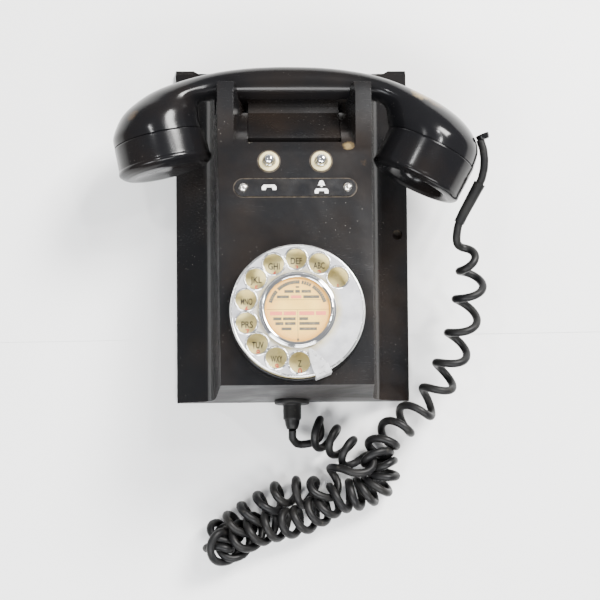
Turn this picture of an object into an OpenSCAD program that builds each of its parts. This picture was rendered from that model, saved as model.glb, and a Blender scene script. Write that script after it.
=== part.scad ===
// Rotary-dial wall telephone with a cradled handset, two push buttons and a curly cord.
// Frame: the back rests on z = 0, +Z out of the front, +Y to the top, +X to the right. Millimetres.

/* [Case] */
// Width across the side wings
case_w = 149; // [135:1:180]
// Height of the back
case_h = 215; // [205:1:260]
// Width of the front panel
front_w = 87; // [84:1:92]
// Width where the side walls meet the wings
side_w = 98; // [96:1:104]
// Height of the front panel's lower edge above the wall
front_z = 95; // [90:1:115]
// Slope of the front panel, in degrees
panel_tilt = 9; // [6:0.5:10]
// Wall thickness of the moulding
wall = 3.5; // [2.5:0.1:4.5]
// Thickness of the wing's outer edge
wing_edge = 2.5; // [2:0.1:4]
// Height of the wing at its root
wing_root = 9.5; // [8:0.1:12]
// Thickness of the steel base plate
plate_t = 1.5; // [1:0.1:1.8]

/* [Cradle] */
// Distance between the two prongs' inner faces at the front
prong_gap = 72.6; // [68:0.2:74]
// Height of the prongs' front faces above the wall
prong_z = 71; // [69:0.5:72]
// Height of the grip's centre above the wall
grip_z = 50; // [49:0.5:51]
// Width of the cradle rocker
rocker_w = 55; // [40:1:56]
// Diameter of the rocker's pivot pin
rocker_pin_d = 3; // [2:0.1:4]

/* [Dial] */
// Diameter of the finger wheel
wheel_d = 76; // [74:0.5:78]
// Thickness of the finger wheel
wheel_t = 1.8; // [1.2:0.1:2.5]
// Diameter of a finger hole
finger_hole_d = 11.8; // [10:0.1:12.6]
// Radius of the circle of finger holes
finger_hole_r = 29.6; // [28:0.1:30]
// Diameter of the dial's main shaft
shaft_d = 6; // [4:0.1:8]
// Diameter of the ring that holds the card
card_ring_d = 43.8; // [36:0.2:45]

/* [Buttons] */
// Distance between the two push buttons
button_pitch = 30.6; // [24:0.2:40]
// Diameter of a push button
button_d = 7.4; // [5:0.1:9]
// Outer diameter of a button's bezel
bezel_d = 12; // [10.5:0.1:16]
// Travel of a push button
button_travel = 3; // [1:0.1:3.2]

/* [Handset] */
// Radius of the earpiece cap's rim
ear_cap_r = 28.7; // [26:0.1:29]
// Radius of the mouthpiece cap's rim
mouth_cap_r = 28.5; // [26:0.1:29]
// Depth of the earpiece cap
ear_cap_h = 21; // [16:0.5:23]
// Depth of the mouthpiece cap
mouth_cap_h = 24; // [18:0.5:26]

/* [Cord] */
// Diameter of the cord
cord_d = 5; // [4:0.1:5.4]
// Outer diameter of the curl
curl_d = 21; // [18:0.5:22]

/* [Hidden] */

// Clearances
gap = 0.3;                  // between pieces that only sit next to each other
run_gap = 0.05;             // radial, between a shaft and its bore
eps = 0.01;

// Case outline, in the planes across (x, z) and along (y, z)
half_h = case_h / 2;
front_y = -half_h + 14.5;                       // lower edge of the front panel
bottom_tilt = atan(14.5 / front_z);             // lean of the bottom face
panel_top_y = 43.5;
shelf_top = [52, 68];
shelf_end = [71.4, 45];
trough_z = 30;
saddle_y = 105;
wing_w = 17;                                    // width of the flat part of a wing
fillet_z = 25;                                  // where the side wall leaves the fillet
fillet_r = 12;
horn_slope = 1.64;
wing_hole_x = case_w / 2 - 6.7;
plate_holes = [[-40, -84], [40, -84], [40, 76], [-40, 76]];     // wall screws
case_screw_x = 44;
case_screw_y = [-94, 88];

function panel_z(y) = front_z - (y - front_y) * tan(panel_tilt);
function mirror_x(points) = [for (i = [len(points) - 1 : -1 : 0]) [-points[i][0], points[i][1]]];
function arc_points(c, r, a0, a1, n) =
    [for (i = [0 : n]) let (a = a0 + (a1 - a0) * i / n) [c[0] + r * cos(a), c[1] + r * sin(a)]];

// The fillet between the wing's flat and the side wall, as a quadratic curve
function fillet_points(p0, p1, p2, n) =
    [for (i = [0 : n]) let (t = i / n)
        (1 - t) * (1 - t) * p0 + 2 * t * (1 - t) * p1 + t * t * p2];

// Cross section of the case, moved inwards by t
function section_half(t) = concat(
    [[case_w / 2 - t * 2.4, 0]],
    [[case_w / 2 - t * 2.4, max(wing_edge - t, 0.8)]],
    fillet_points([case_w / 2 - wing_w - t * 0.3, wing_root - t * 1.1],
        [side_w / 2 + 1.8 - t, wing_root + 2.5 - t * 0.8],
        [side_w / 2 - t, fillet_z - t * 0.4], 6),
    [[front_w / 2 - t, front_z - t]]
);
function section(t) = concat(section_half(t), mirror_x(section_half(t)));

// Side view of the case, moved inwards by t
function side_view(t) = [
    [-half_h + t, 0], [front_y + t, panel_z(front_y + t) - t],
    [panel_top_y - t * 0.5, panel_z(panel_top_y - t * 0.5) - t],
    [shelf_top[0] - t * 0.7, shelf_top[1] - t], [shelf_end[0] - t, shelf_end[1] - t * 0.7],
    [shelf_end[0] + 1 - t, trough_z - t], [98 - t * 0.6, trough_z - t],
    [104 - t * 1.1, 8], [saddle_y - t * 1.1, 0]
];
wing_side_view = [
    [-half_h, 0], [-half_h + 14.5 * 12 / front_z, 12],
    [half_h - horn_slope * 12, 12], [half_h, 0]
];

// Cradle
grip_y = 88.4;
seat_r = 11.2;                  // of the prongs' hooks, round the grip
prong_outer = 92 / 2;
rocker_pivot = [53.5, 60.5];
rocker_nose = [[80.1, 44.1], [81.8, 42.5], [80.6, 39.8]];
rocker_face = [[52.5, 66.2], [71.2, 45.6]];
hook_pivot = [40, 40];

// Dial stack, as heights above the front panel
dial_y = -52.9;
collar_r = 39.2;
collar_h = 5;
dial_hole_r = 37.4;
works_r = 32.95;                // of the dial works' plates
plate_w = 5;                   // underside of the number plate
plate_h = 1;
wheel_w = 12;                  // underside of the finger wheel
card_ring_w = wheel_w + wheel_t;
first_hole_a = 39.2;           // angle of the hole for 1
hole_step = 25.8;
stop_a = 291;                  // angle of the finger stop
gear_module = 0.7;
main_teeth = 44;
idler_teeth = 32;
pinion_teeth = 12;
main_w = -9;                   // underside of the main gear
idler_w = -14;
gear_t = 2.4;
idler_a = 150;                 // direction of the impulse spindle from the main shaft
governor_a = 62;               // direction of the governor from the impulse spindle
spindle_d = 3;
idler_dist = gear_module * (main_teeth + pinion_teeth) / 2;
governor_dist = gear_module * (idler_teeth + pinion_teeth) / 2;
idler_pos = idler_dist * [cos(idler_a), sin(idler_a)];
governor_pos = idler_pos + governor_dist * [cos(governor_a - 180), sin(governor_a - 180)];
works_w = -23;                 // top of the works' back plate

// Buttons and label plate
button_y = 37.2;
label_y = 21.3;
label_l = 71;
label_h = 10.2;
label_screw_x = 30.5;
guide_d = 8.6;
button_stem = 11;               // length of a button's plunger under the panel's face
leaf_w = -button_stem - button_travel - 0.5;    // of the first contact leaf

// Ringer and circuit parts on the base plate
gong_r = 19.5;
gong_x = 22;
gong_y = 12;
gong_z = 8;
clapper_pivot_y = -18;
clapper_z = 15;
clapper_pin_r = 1.2;

// Gland and cord
gland_x = -1.3;
gland_z = 14;
gland_hole_r = 4.6;
gland_y = -half_h + gland_z * tan(bottom_tilt);

cord_color = [0.05, 0.05, 0.05];

// Where the cord isn't coiled, its points are chosen by hand
lead_case_points = [
    [-1.3, -123.9, 16.8], [-1.4, -126.5, 16.6], [-0.6, -129.5, 15.2], [1.4, -132, 13.4],
    [5.2, -134.2, 11.6]
];
link_points = [[43, -150, 24], [40, -148.5, 27], [34, -148, 28], [27, -150, 26], [22, -154, 22.2]];
lead_handset_points = [[100.6, -14.5, 44.6], [99.2, -9, 45], [99, -3, 45.6], [101.2, 4, 46]];
sleeve_points = [[101.4, 4.4, 46], [104.2, 9.8, 47], [108.8, 18.4, 48.6], [113.3, 26.8, 50]];
tail_points = [[113.5, 27.2, 50], [115.6, 34, 50.6], [116.2, 41, 51.2], [115.4, 48, 51.6],
    [113.6, 53.4, 51.8]];

// Centre line of the curl, from the gland's end to the handset's end
first_axis = [[10, -126.5, 10.8], [19, -130.5, 10.8], [28, -135, 10.8], [37, -140.5, 11.5],
    [41, -145, 12.5]];
upper_axis = [[20, -163.5, 10.8], [13, -164.4, 10.8], [1, -164, 10.8], [-10.5, -167, 10.8],
    [-21.6, -173.4, 10.8], [-33.8, -181.4, 10.8], [-43, -187.4, 10.8], [-47.4, -191.6, 10.8]];
lower_axis = [[-47.6, -192.2, 10.8], [-44, -196.6, 10.8], [-36, -193.2, 10.8],
    [-26.4, -187.4, 10.8], [-16, -184.6, 10.8], [-6, -182.8, 10.8], [3.4, -180.6, 10.8],
    [12.8, -177, 10.8], [22, -171, 10.8], [31.4, -167, 10.8], [40.4, -165.4, 10.8]];
fan_axis = [[41, -165.3, 10.8], [47.4, -163.2, 10.8], [54, -158.6, 10.8], [56.4, -151.6, 10.8],
    [54, -144.4, 11], [52.8, -138.6, 12]];
rise_low_axis = [[52.9, -138, 12.1], [58.4, -130, 13.4], [67, -122, 15], [76.3, -113.6, 17.5],
    [85.8, -105, 20.5]];
rise_high_axis = [[86.2, -104.4, 20.7], [92.5, -93, 24.5], [99.5, -78, 29], [104, -62, 33.5],
    [107.5, -43.5, 38], [109, -29, 41], [107.6, -17, 43]];

// Handset: each station has the outer and inner edge of the section and its half depth
ear_turn = -13.4;
ear_rim = [-77.5, 38];
ear_dir = [sin(-ear_turn), -cos(ear_turn)];
mouth_turn = 27.5;
mouth_rim = [74, 29.5];
mouth_dir = [-sin(mouth_turn), -cos(mouth_turn)];
cap_depth = 17;                 // from a cap's rim to its seam
mouth_depth = 21;
ear_seam_r = 27.4;
mouth_seam_r = 28.6;
ear_seam = ear_rim - cap_depth * ear_dir;
mouth_seam = mouth_rim - mouth_depth * mouth_dir;
stations = [
    [ear_seam[0] - ear_seam_r * cos(ear_turn), ear_seam[1] + ear_seam_r * sin(ear_turn),
        ear_seam[0] + ear_seam_r * cos(ear_turn), ear_seam[1] - ear_seam_r * sin(ear_turn),
        ear_seam_r],
    [-109, 54, -57, 66, 26.7], [-106.5, 62, -57.5, 70.5, 25], [-102.5, 68.8, -58, 73.6, 22.6],
    [-95.5, 75.5, -57.5, 75.8, 19.6], [-86, 82, -55.5, 77.4, 16.6], [-74.5, 87.2, -51, 78.4, 13.8],
    [-59.5, 92, -44.5, 78.8, 11], [-44.5, 95.4, -36, 78.9, 9.8], [-29, 97.4, -24, 78.9, 9.6],
    [-14, 98.3, -11, 78.9, 9.5], [1, 98.4, 2, 78.9, 9.5], [16.5, 97.9, 15, 78.9, 9.5],
    [31.7, 96.4, 27.5, 78.9, 9.6], [47, 93.6, 38.5, 78.8, 9.9], [62, 89, 46.5, 78.4, 11.2],
    [77, 82, 52, 77.4, 14], [91, 74, 55.2, 75.4, 17.4], [102.5, 64.6, 56.6, 72.4, 21.4],
    [109.5, 55, 57, 68.8, 25], [112, 45.5, 57.2, 65.4, 27.6],
    [mouth_seam[0] + mouth_seam_r * cos(mouth_turn), mouth_seam[1] - mouth_seam_r * sin(mouth_turn),
        mouth_seam[0] - mouth_seam_r * cos(mouth_turn), mouth_seam[1] + mouth_seam_r * sin(mouth_turn),
        mouth_seam_r]
];

// Triangle caps and quad walls for a stack of rings with n points each
function loft_faces(rings, n) = concat(
    [[for (j = [0 : n - 1]) j]],
    [for (i = [0 : rings - 2]) for (j = [0 : n - 1])
        [i * n + j, (i + 1) * n + j, (i + 1) * n + (j + 1) % n]],
    [for (i = [0 : rings - 2]) for (j = [0 : n - 1])
        [i * n + j, (i + 1) * n + (j + 1) % n, i * n + (j + 1) % n]],
    [[for (j = [n - 1 : -1 : 0]) (rings - 1) * n + j]]
);

// Smooth curve through a list of points, with k steps between two of them
function spline_point(p, i, t) =
    let (a = p[max(i - 1, 0)], b = p[i], c = p[i + 1], d = p[min(i + 2, len(p) - 1)])
    0.5 * ((2 * b) + (c - a) * t + (2 * a - 5 * b + 4 * c - d) * t * t
        + (3 * b - a - 3 * c + d) * t * t * t);
function spline(p, k) = concat(
    [for (i = [0 : len(p) - 2]) for (j = [0 : k - 1]) spline_point(p, i, j / k)], [p[len(p) - 1]]);
function unit(v) = v / norm(v);
function tangent(p, i) = unit(p[min(i + 1, len(p) - 1)] - p[max(i - 1, 0)]);

// Round tube along points, with n sides: each ring is level across and square to the curve
module tube(points, r, n) {
    path_points = spline(points, 2);
    rings = [for (i = [0 : len(path_points) - 1])
        let (t = tangent(path_points, i), s = unit(cross(t, [0, 0, 1])), u = cross(s, t))
        for (j = [0 : n - 1]) let (a = 360 * (j + 0.5) / n)
            path_points[i] + r * cos(a) * s + r * sin(a) * u];
    polyhedron(rings, loft_faces(len(path_points), n));
}

module across(points, w) {
    // A side view drawn in (y, z), w wide and centred on x = 0
    rotate([90, 0, 90]) translate([0, 0, -w / 2]) linear_extrude(w) polygon(points);
}
module along(points, y0, y1) {
    // A cross section drawn in (x, z), between two heights y
    translate([0, y1, 0]) rotate([90, 0, 0]) linear_extrude(y1 - y0) polygon(points);
}
module on_panel(x, y) {
    translate([x, y, panel_z(y)]) rotate([-panel_tilt, 0, 0]) children();
}
module on_dial(w = 0) {
    on_panel(0, dial_y) translate([0, 0, w]) children();
}
module pair_x(d) {
    for (s = [-1, 1]) translate([s * d, 0, 0]) children();
}
module ring(r_out, r_in, h) {
    difference() {
        cylinder(r = r_out, h = h, $fn = 96);
        translate([0, 0, -1]) cylinder(r = r_in, h = h + 2, $fn = 96);
    }
}

// Spur gear: each tooth is a trapezoid about the pitch circle, with backlash
function gear_points(teeth, m, thin) = let (rp = m * teeth / 2)
    [for (k = [0 : teeth - 1]) let (a = 360 * k / teeth, q = 360 / teeth)
        for (s = [[-0.34, -1.15], [-0.22 + thin, 0], [-0.09 + thin / 2, 0.85],
                  [0.09 - thin / 2, 0.85], [0.22 - thin, 0], [0.34, -1.15]])
            let (b = a + s[0] * q) (rp + s[1] * m) * [cos(b), sin(b)]];
module gear(teeth, turn, h, bore) {
    difference() {
        rotate([0, 0, turn]) linear_extrude(h) polygon(gear_points(teeth, gear_module, 0.03));
        if (bore > 0) translate([0, 0, -1]) cylinder(r = bore, h = h + 2, $fn = 48);
    }
}

module case_outer() {
    intersection() {
        along(section(0), -half_h, half_h);
        across(side_view(0), case_w + 2);
    }
    difference() {
        intersection() {
            along(section(0), -half_h, half_h);
            across(wing_side_view, case_w + 2);
        }
        translate([0, 0, -1]) linear_extrude(20) polygon([
            [-63, half_h + 1], [-63, half_h - 0.2], [-55, saddle_y - 2.6], [-44, saddle_y - 0.8],
            [-20, saddle_y], [20, saddle_y], [44, saddle_y - 0.8], [55, saddle_y - 2.6],
            [63, half_h - 0.2], [63, half_h + 1]
        ]);
    }
}
module prong() {
    // A tapered block cut by the hook's side view, with the seat for the grip taken out
    difference() {
        intersection() {
            along([[prong_gap / 2, prong_z + 1], [prong_outer - 0.5, prong_z + 1],
                [side_w / 2 - 1, trough_z - 6], [29, trough_z - 6], [29, trough_z + 4]], 30, 90);
            across([[31, trough_z - 5], [31, 60], [34, prong_z], [79, prong_z], [86, 67.6],
                [86.3, 62.6], [84, 61.6], [78, 56], [77.4, trough_z + 6], [76.6, trough_z - 5]], 110);
        }
        translate([0, grip_y, grip_z]) rotate([0, 90, 0])
            cylinder(r = seat_r, h = 60, $fn = 72);
    }
}
module case() {
    color([0.05, 0.05, 0.055]) difference() {
        union() {
            difference() {
                case_outer();
                intersection() {
                    translate([0, 0, -eps]) along(section(wall), -half_h, half_h);
                    translate([0, 0, -eps]) across(side_view(wall), case_w + 2);
                }
            }
            prong();
            mirror([1, 0, 0]) prong();
            for (x = [-1, 1]) for (y = case_screw_y)
                translate([x * case_screw_x, y, plate_t + 0.1]) cylinder(r = 4.2, h = 13, $fn = 48);
        }
        // Recess for the base plate
        translate([-case_w / 2 + 6, -half_h + 4, -1]) cube([case_w - 12, case_h - 11, 1 + plate_t + 0.1]);
        for (x = [-1, 1]) for (y = case_screw_y)
            translate([x * case_screw_x, y, 0]) cylinder(r = 1.6, h = 12, $fn = 32);
        // Dial opening, button guides, label screws, rocker slot, gland hole, wing screw hole
        on_dial(-12) cylinder(r = dial_hole_r + 0.1, h = 20, $fn = 96);
        for (s = [-1, 1]) on_panel(s * button_pitch / 2, button_y) translate([0, 0, -12])
            cylinder(d = guide_d + 0.4, h = 20, $fn = 48);
        for (s = [-1, 1]) on_panel(s * label_screw_x, label_y) translate([0, 0, -12])
            cylinder(r = 1.35, h = 20, $fn = 32);
        across([[50.2, 73], [47.4, 62], [44, 57], [50, 38], [70, 34], [84, 36], [84, 49], [72.4, 49],
            [55, 70]], rocker_w + 2 * gap);
        translate([0, rocker_pivot[0], rocker_pivot[1]]) rotate([0, 90, 0])
            cylinder(d = rocker_pin_d + 2 * run_gap, h = rocker_w + 8, center = true, $fn = 48);
        at_gland(-8) cylinder(r = gland_hole_r + run_gap, h = 20, $fn = 48);
        translate([wing_hole_x, 0, -1]) cylinder(r = 3.2, h = 20, $fn = 48);
    }
}

module at_gland(w = 0) {
    translate([gland_x, gland_y, gland_z]) rotate([90 - bottom_tilt, 0, 0])
        translate([0, 0, w]) children();
}

module base_plate() {
    color([0.55, 0.56, 0.57]) difference() {
        translate([-case_w / 2 + 6.4, -half_h + 4.4, 0]) cube([case_w - 12.8, case_h - 11.8, plate_t]);
        for (p = plate_holes) translate([p[0], p[1], -1]) cylinder(r = 2.6, h = 5, $fn = 40);
        for (x = [-1, 1]) for (y = case_screw_y) translate([x * case_screw_x, y, -eps])
            cylinder(r1 = 3.35, r2 = 1.7, h = plate_t + 2 * eps, $fn = 40);
        translate([wing_hole_x, 0, -1]) cylinder(r = 5, h = 5, $fn = 40);
    }
}
module case_screws() {
    color([0.7, 0.7, 0.7])
        for (x = [-1, 1]) for (y = case_screw_y) translate([x * case_screw_x, y, 0]) {
            cylinder(r1 = 3.15, r2 = 1.5, h = plate_t, $fn = 40);
            cylinder(r = 1.5, h = 11, $fn = 32);
        }
}

module dial_collar() {
    color([0.04, 0.04, 0.045]) on_dial() {
        difference() {
            union() {
                translate([0, 0, eps]) cylinder(r1 = collar_r, r2 = collar_r - 0.8, h = collar_h - eps,
                    $fn = 120);
                translate([0, 0, -4]) cylinder(r = dial_hole_r - run_gap, h = 5, $fn = 120);
            }
            translate([0, 0, -5]) cylinder(r = works_r + run_gap, h = 12, $fn = 96);
        }
    }
}
module dial_frame() {
    color([0.72, 0.62, 0.36]) on_dial() difference() {
        union() {
            cylinder(r = works_r, h = 2.5, $fn = 96);
            translate([0, 0, -4]) cylinder(r = 6, h = 5, $fn = 48);
            for (a = [40, 100, 300]) rotate([0, 0, a]) translate([30, 0, works_w - 0.5])
                cylinder(r = 2, h = 24, $fn = 24);
            translate([0, 0, works_w - 2]) cylinder(r = works_r, h = 2, $fn = 96);
        }
        translate([0, 0, -30]) cylinder(d = shaft_d + 2 * run_gap, h = 40, $fn = 48);
        translate([idler_pos[0], idler_pos[1], -30])
            cylinder(d = spindle_d + 2 * run_gap, h = 40, $fn = 40);
        translate([governor_pos[0], governor_pos[1], -30])
            cylinder(d = spindle_d + 2 * run_gap, h = 40, $fn = 40);
    }
}
module number_plate() {
    color([0.93, 0.88, 0.66]) on_dial(plate_w + 0.02) ring(37.6, 7.6, plate_h);
}
module finger_stop() {
    // A hook that stands on the collar, turns over the wheel's rim and runs in as a tapered blade
    color([0.8, 0.8, 0.8]) on_dial() rotate([0, 0, stop_a]) {
        translate([wheel_d / 2 + 0.5, -4.6, collar_h + 0.05]) cube([1.4, 9.2, 12.2]);
        translate([0, 0, wheel_w + wheel_t + 2]) linear_extrude(1.4) polygon([
            [wheel_d / 2 + 1.9, -4.6], [wheel_d / 2 + 1.9, 4.6], [wheel_d / 2 - 3, 4.4],
            [wheel_d / 2 - 9, 1.6], [wheel_d / 2 - 14.5, -1.2], [wheel_d / 2 - 14.8, -2.6],
            [wheel_d / 2 - 9, -4.4], [wheel_d / 2 - 3, -4.8]
        ]);
    }
}
// Flat spiral between two radii
function spiral(r0, r1, turns, t, n) = concat(
    [for (i = [0 : n]) let (u = i / n, a = 360 * turns * u, r = r0 + (r1 - r0) * u)
        r * [cos(a), sin(a)]],
    [for (i = [n : -1 : 0]) let (u = i / n, a = 360 * turns * u, r = r0 + (r1 - r0) * u + t)
        r * [cos(a), sin(a)]]);
module mainspring() {
    color([0.4, 0.42, 0.5]) on_dial(works_w + 1) linear_extrude(4) polygon(spiral(4, 11, 3.5, 0.5, 84));
}
module governor_cup() {
    color([0.72, 0.62, 0.36]) on_dial() translate([governor_pos[0], governor_pos[1], works_w])
        ring(7, 6, 5);
}
module impulse_contacts() {
    color([0.75, 0.6, 0.3]) on_dial(works_w + 2) rotate([0, 0, idler_a + 46]) {
        for (k = [0 : 2]) translate([14 + 1.4 * k, -9, 0]) cube([0.4, 20, 5]);
        translate([13.4, 11, -2]) cube([5, 4, 8]);
    }
}

module button_bezels() {
    color([0.85, 0.8, 0.62]) for (s = [-1, 1]) on_panel(s * button_pitch / 2, button_y)
        difference() {
            union() {
                translate([0, 0, eps]) rotate_extrude($fn = 64) polygon([
                    [0, 0], [bezel_d / 2, 0], [bezel_d / 2, 0.5], [bezel_d / 2 - 0.5, 1.2],
                    [bezel_d / 2 - 1.4, 1.5], [0, 1.5]
                ]);
                translate([0, 0, -6]) cylinder(d = guide_d, h = 7, $fn = 48);
            }
            translate([0, 0, -7]) cylinder(d = button_d + 2 * run_gap, h = 10, $fn = 48);
        }
}
module button(s) {
    color([0.86, 0.86, 0.88]) on_panel(s * button_pitch / 2, button_y) rotate_extrude($fn = 48)
        polygon(concat([[0, -button_stem], [1.5, -button_stem], [1.5, -6.6], [button_d / 2, -6.6],
            [button_d / 2, 3]], arc_points([0, 3], button_d / 2, 12, 90, 8)));
}
module button_left() { button(-1); }
module button_right() { button(1); }
module button_contacts() {
    // A leaf spring pile under each plunger, on its own insulating block
    for (s = [-1, 1]) on_panel(s * button_pitch / 2, button_y) {
        color([0.78, 0.66, 0.36]) for (k = [0 : 2])
            translate([-2.5, -14, leaf_w - 1.1 * k]) cube([5, 17, 0.4]);
        color([0.3, 0.2, 0.12]) translate([-3, -18.2, leaf_w - 3])
            cube([6, 4.1, 3 - wall * cos(panel_tilt) - leaf_w - eps]);
    }
}
module label_plate() {
    color([0.04, 0.04, 0.04]) on_panel(0, label_y) translate([0, 0, eps]) difference() {
        union() {
            translate([-label_l / 2 + label_h / 2, -label_h / 2, 0])
                cube([label_l - label_h, label_h, 0.9]);
            pair_x(label_l / 2 - label_h / 2) cylinder(d = label_h, h = 0.9, $fn = 48);
        }
        pair_x(label_screw_x) translate([0, 0, -1]) cylinder(r = 1.35, h = 4, $fn = 32);
    }
}
module label_screws() {
    color([0.8, 0.8, 0.78]) for (s = [-1, 1]) on_panel(s * label_screw_x, label_y) difference() {
        union() {
            translate([0, 0, -6]) cylinder(r = 1.3, h = 7, $fn = 32);
            translate([0, 0, 0.9 + 2 * eps]) rotate_extrude($fn = 48)
                polygon(concat([[0, 0]], arc_points([0, -1.1], 3.1, 20.8, 90, 8)));
        }
        translate([-4, -0.3, 2.4]) cube([8, 0.6, 2]);
    }
}

module gongs() {
    color([0.75, 0.6, 0.25]) pair_x(gong_x) translate([0, gong_y, gong_z]) difference() {
        rotate_extrude($fn = 96) polygon([
            [0, 9], [4, 9], [12, 8.4], [gong_r - 3.4, 6.4], [gong_r - 0.9, 3.4], [gong_r, 0],
            [gong_r - 1.1, 0], [gong_r - 2, 2.8], [gong_r - 4.3, 5.5], [11.6, 7.4], [4, 8], [0, 8]
        ]);
        cylinder(r = 1.7, h = 20, $fn = 32);
    }
}
module gong_screws() {
    color([0.7, 0.7, 0.7]) pair_x(gong_x) translate([0, gong_y, gong_z + 9 + eps]) {
        cylinder(r = 3.4, h = 1.8, $fn = 32);
        translate([0, 0, -7]) cylinder(r = 1.5, h = 7.5, $fn = 32);
    }
}
module ringer_frame() {
    color([0.5, 0.52, 0.5]) {
        difference() {
            union() {
                translate([-34, -44, plate_t]) cube([68, 64, 2]);
                pair_x(gong_x) translate([0, gong_y, plate_t]) cylinder(r = 3.2, h = 14.4, $fn = 40);
                // Bridge that holds the upper end of the clapper's pin
                pair_x(6) translate([-1, clapper_pivot_y - 3, plate_t]) cube([2, 6, 18.5]);
                translate([-7, clapper_pivot_y - 3, plate_t + 18.5]) cube([14, 6, 2]);
            }
            pair_x(gong_x) translate([0, gong_y, 8]) cylinder(r = 1.6, h = 12, $fn = 32);
            translate([0, clapper_pivot_y, 0])
                cylinder(r = clapper_pin_r + run_gap, h = 30, $fn = 40);
        }
    }
}
module ringer_coils() {
    color([0.5, 0.2, 0.1]) pair_x(12) translate([0, -24, clapper_z]) rotate([90, 0, 0]) {
        difference() {
            union() {
                translate([0, 0, 1.2]) cylinder(r = 6.4, h = 14, $fn = 48);
                cylinder(r = 8, h = 1.2, $fn = 48);
                translate([0, 0, 15.2]) cylinder(r = 8, h = 1.2, $fn = 48);
            }
            translate([0, 0, -1]) cylinder(r = 2.6, h = 20, $fn = 40);
        }
    }
}
module ringer_magnet() {
    // Two cores through the coils, joined by a yoke that stands on the ringer frame
    color([0.35, 0.36, 0.4]) {
        pair_x(12) translate([0, -22.6, clapper_z]) rotate([90, 0, 0])
            cylinder(r = 2.5, h = 18.6, $fn = 40);
        translate([-19, -44, plate_t + 2 + eps]) cube([38, 3, 20]);
    }
}
module clapper() {
    // An armature on its own pivot pin, with a rod and a ball that hangs between the gongs
    color([0.7, 0.65, 0.5]) {
        translate([0, clapper_pivot_y, plate_t + 0.2])
            cylinder(r = clapper_pin_r, h = 20.6, $fn = 40);
        translate([-4, clapper_pivot_y - 1.5, clapper_z - 3]) cube([8, 3, 7]);
        translate([0, gong_y - 0.2, clapper_z - 4.5]) rotate([90, 0, 0])
            cylinder(r = 0.6, h = gong_y - clapper_pivot_y, $fn = 24);
        translate([0, gong_y, clapper_z - 4.5]) cylinder(r = 1.05, h = 3, center = true, $fn = 32);
    }
}
module induction_coil() {
    color([0.85, 0.75, 0.5]) translate([-38, -66, 14]) rotate([0, 90, 0]) {
        cylinder(r = 9, h = 36, $fn = 48);
        for (z = [-2, 36]) translate([-11.5, -11.5, z]) cube([23.9, 23, 2]);
    }
}
module capacitor() {
    color([0.6, 0.6, 0.55]) translate([6, -78, plate_t]) cube([36, 26, 16]);
}
module terminal_block() {
    color([0.08, 0.06, 0.05]) difference() {
        translate([-36, -99, plate_t]) cube([66, 13, 8]);
        for (k = [0 : 5]) translate([-29 + 10.4 * k, -92.5, 3]) cylinder(r = 1.6, h = 10, $fn = 24);
    }
}
module terminal_screws() {
    color([0.8, 0.7, 0.4]) for (k = [0 : 5]) translate([-29 + 10.4 * k, -92.5, 0]) {
        translate([0, 0, 4]) cylinder(r = 1.5, h = 6, $fn = 24);
        translate([0, 0, plate_t + 8 + eps]) cylinder(r = 3, h = 1.8, $fn = 32);
    }
}

module cradle_rocker() {
    // The shelf plate behind the prongs: it turns on its pin and its nose bears on the grip
    color([0.06, 0.06, 0.065]) difference() {
        across(concat(rocker_face, rocker_nose,
            [[68, 39.6], [57, 50], [56, 57], [51.5, 57.8], [49.8, 61], [50.2, 64.5]]), rocker_w);
        translate([-rocker_w, rocker_pivot[0], rocker_pivot[1]]) rotate([0, 90, 0])
            cylinder(d = rocker_pin_d + 2 * run_gap, h = 2 * rocker_w, $fn = 48);
    }
}
module rocker_pin() {
    color([0.8, 0.8, 0.8]) translate([0, rocker_pivot[0], rocker_pivot[1]]) rotate([0, 90, 0])
        cylinder(d = rocker_pin_d, h = rocker_w + 7, center = true, $fn = 48);
}
module hook_lever() {
    // A bell crank under the rocker, on its own cross pin
    color([0.65, 0.66, 0.66]) {
        across([[37.5, 40], [38.5, 43.2], [44, 44.5], [60, 44.8], [60, 43], [45, 41.6], [42.3, 39],
            [41.4, 30], [38.8, 30]], 10);
        translate([0, hook_pivot[0], hook_pivot[1]]) rotate([0, 90, 0])
            cylinder(r = 1.5, h = 19.6, center = true, $fn = 32);
    }
}
module hook_contacts() {
    // Two brackets that hold the lever's pin, and the switch's leaf springs
    difference() {
        color([0.6, 0.6, 0.6]) pair_x(8.4) translate([-1, 35, plate_t]) cube([2, 10, 42]);
        translate([0, hook_pivot[0], hook_pivot[1]]) rotate([0, 90, 0])
            cylinder(r = 1.5 + run_gap, h = 40, center = true, $fn = 32);
    }
    color([0.78, 0.66, 0.36]) for (k = [0 : 2])
        translate([-4, 35 - 1.6 * k, 22]) cube([8, 0.4, 14]);
    color([0.3, 0.2, 0.12]) translate([-7.3, 31, 14]) cube([14.6, 5.5, 8.1]);
}

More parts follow.
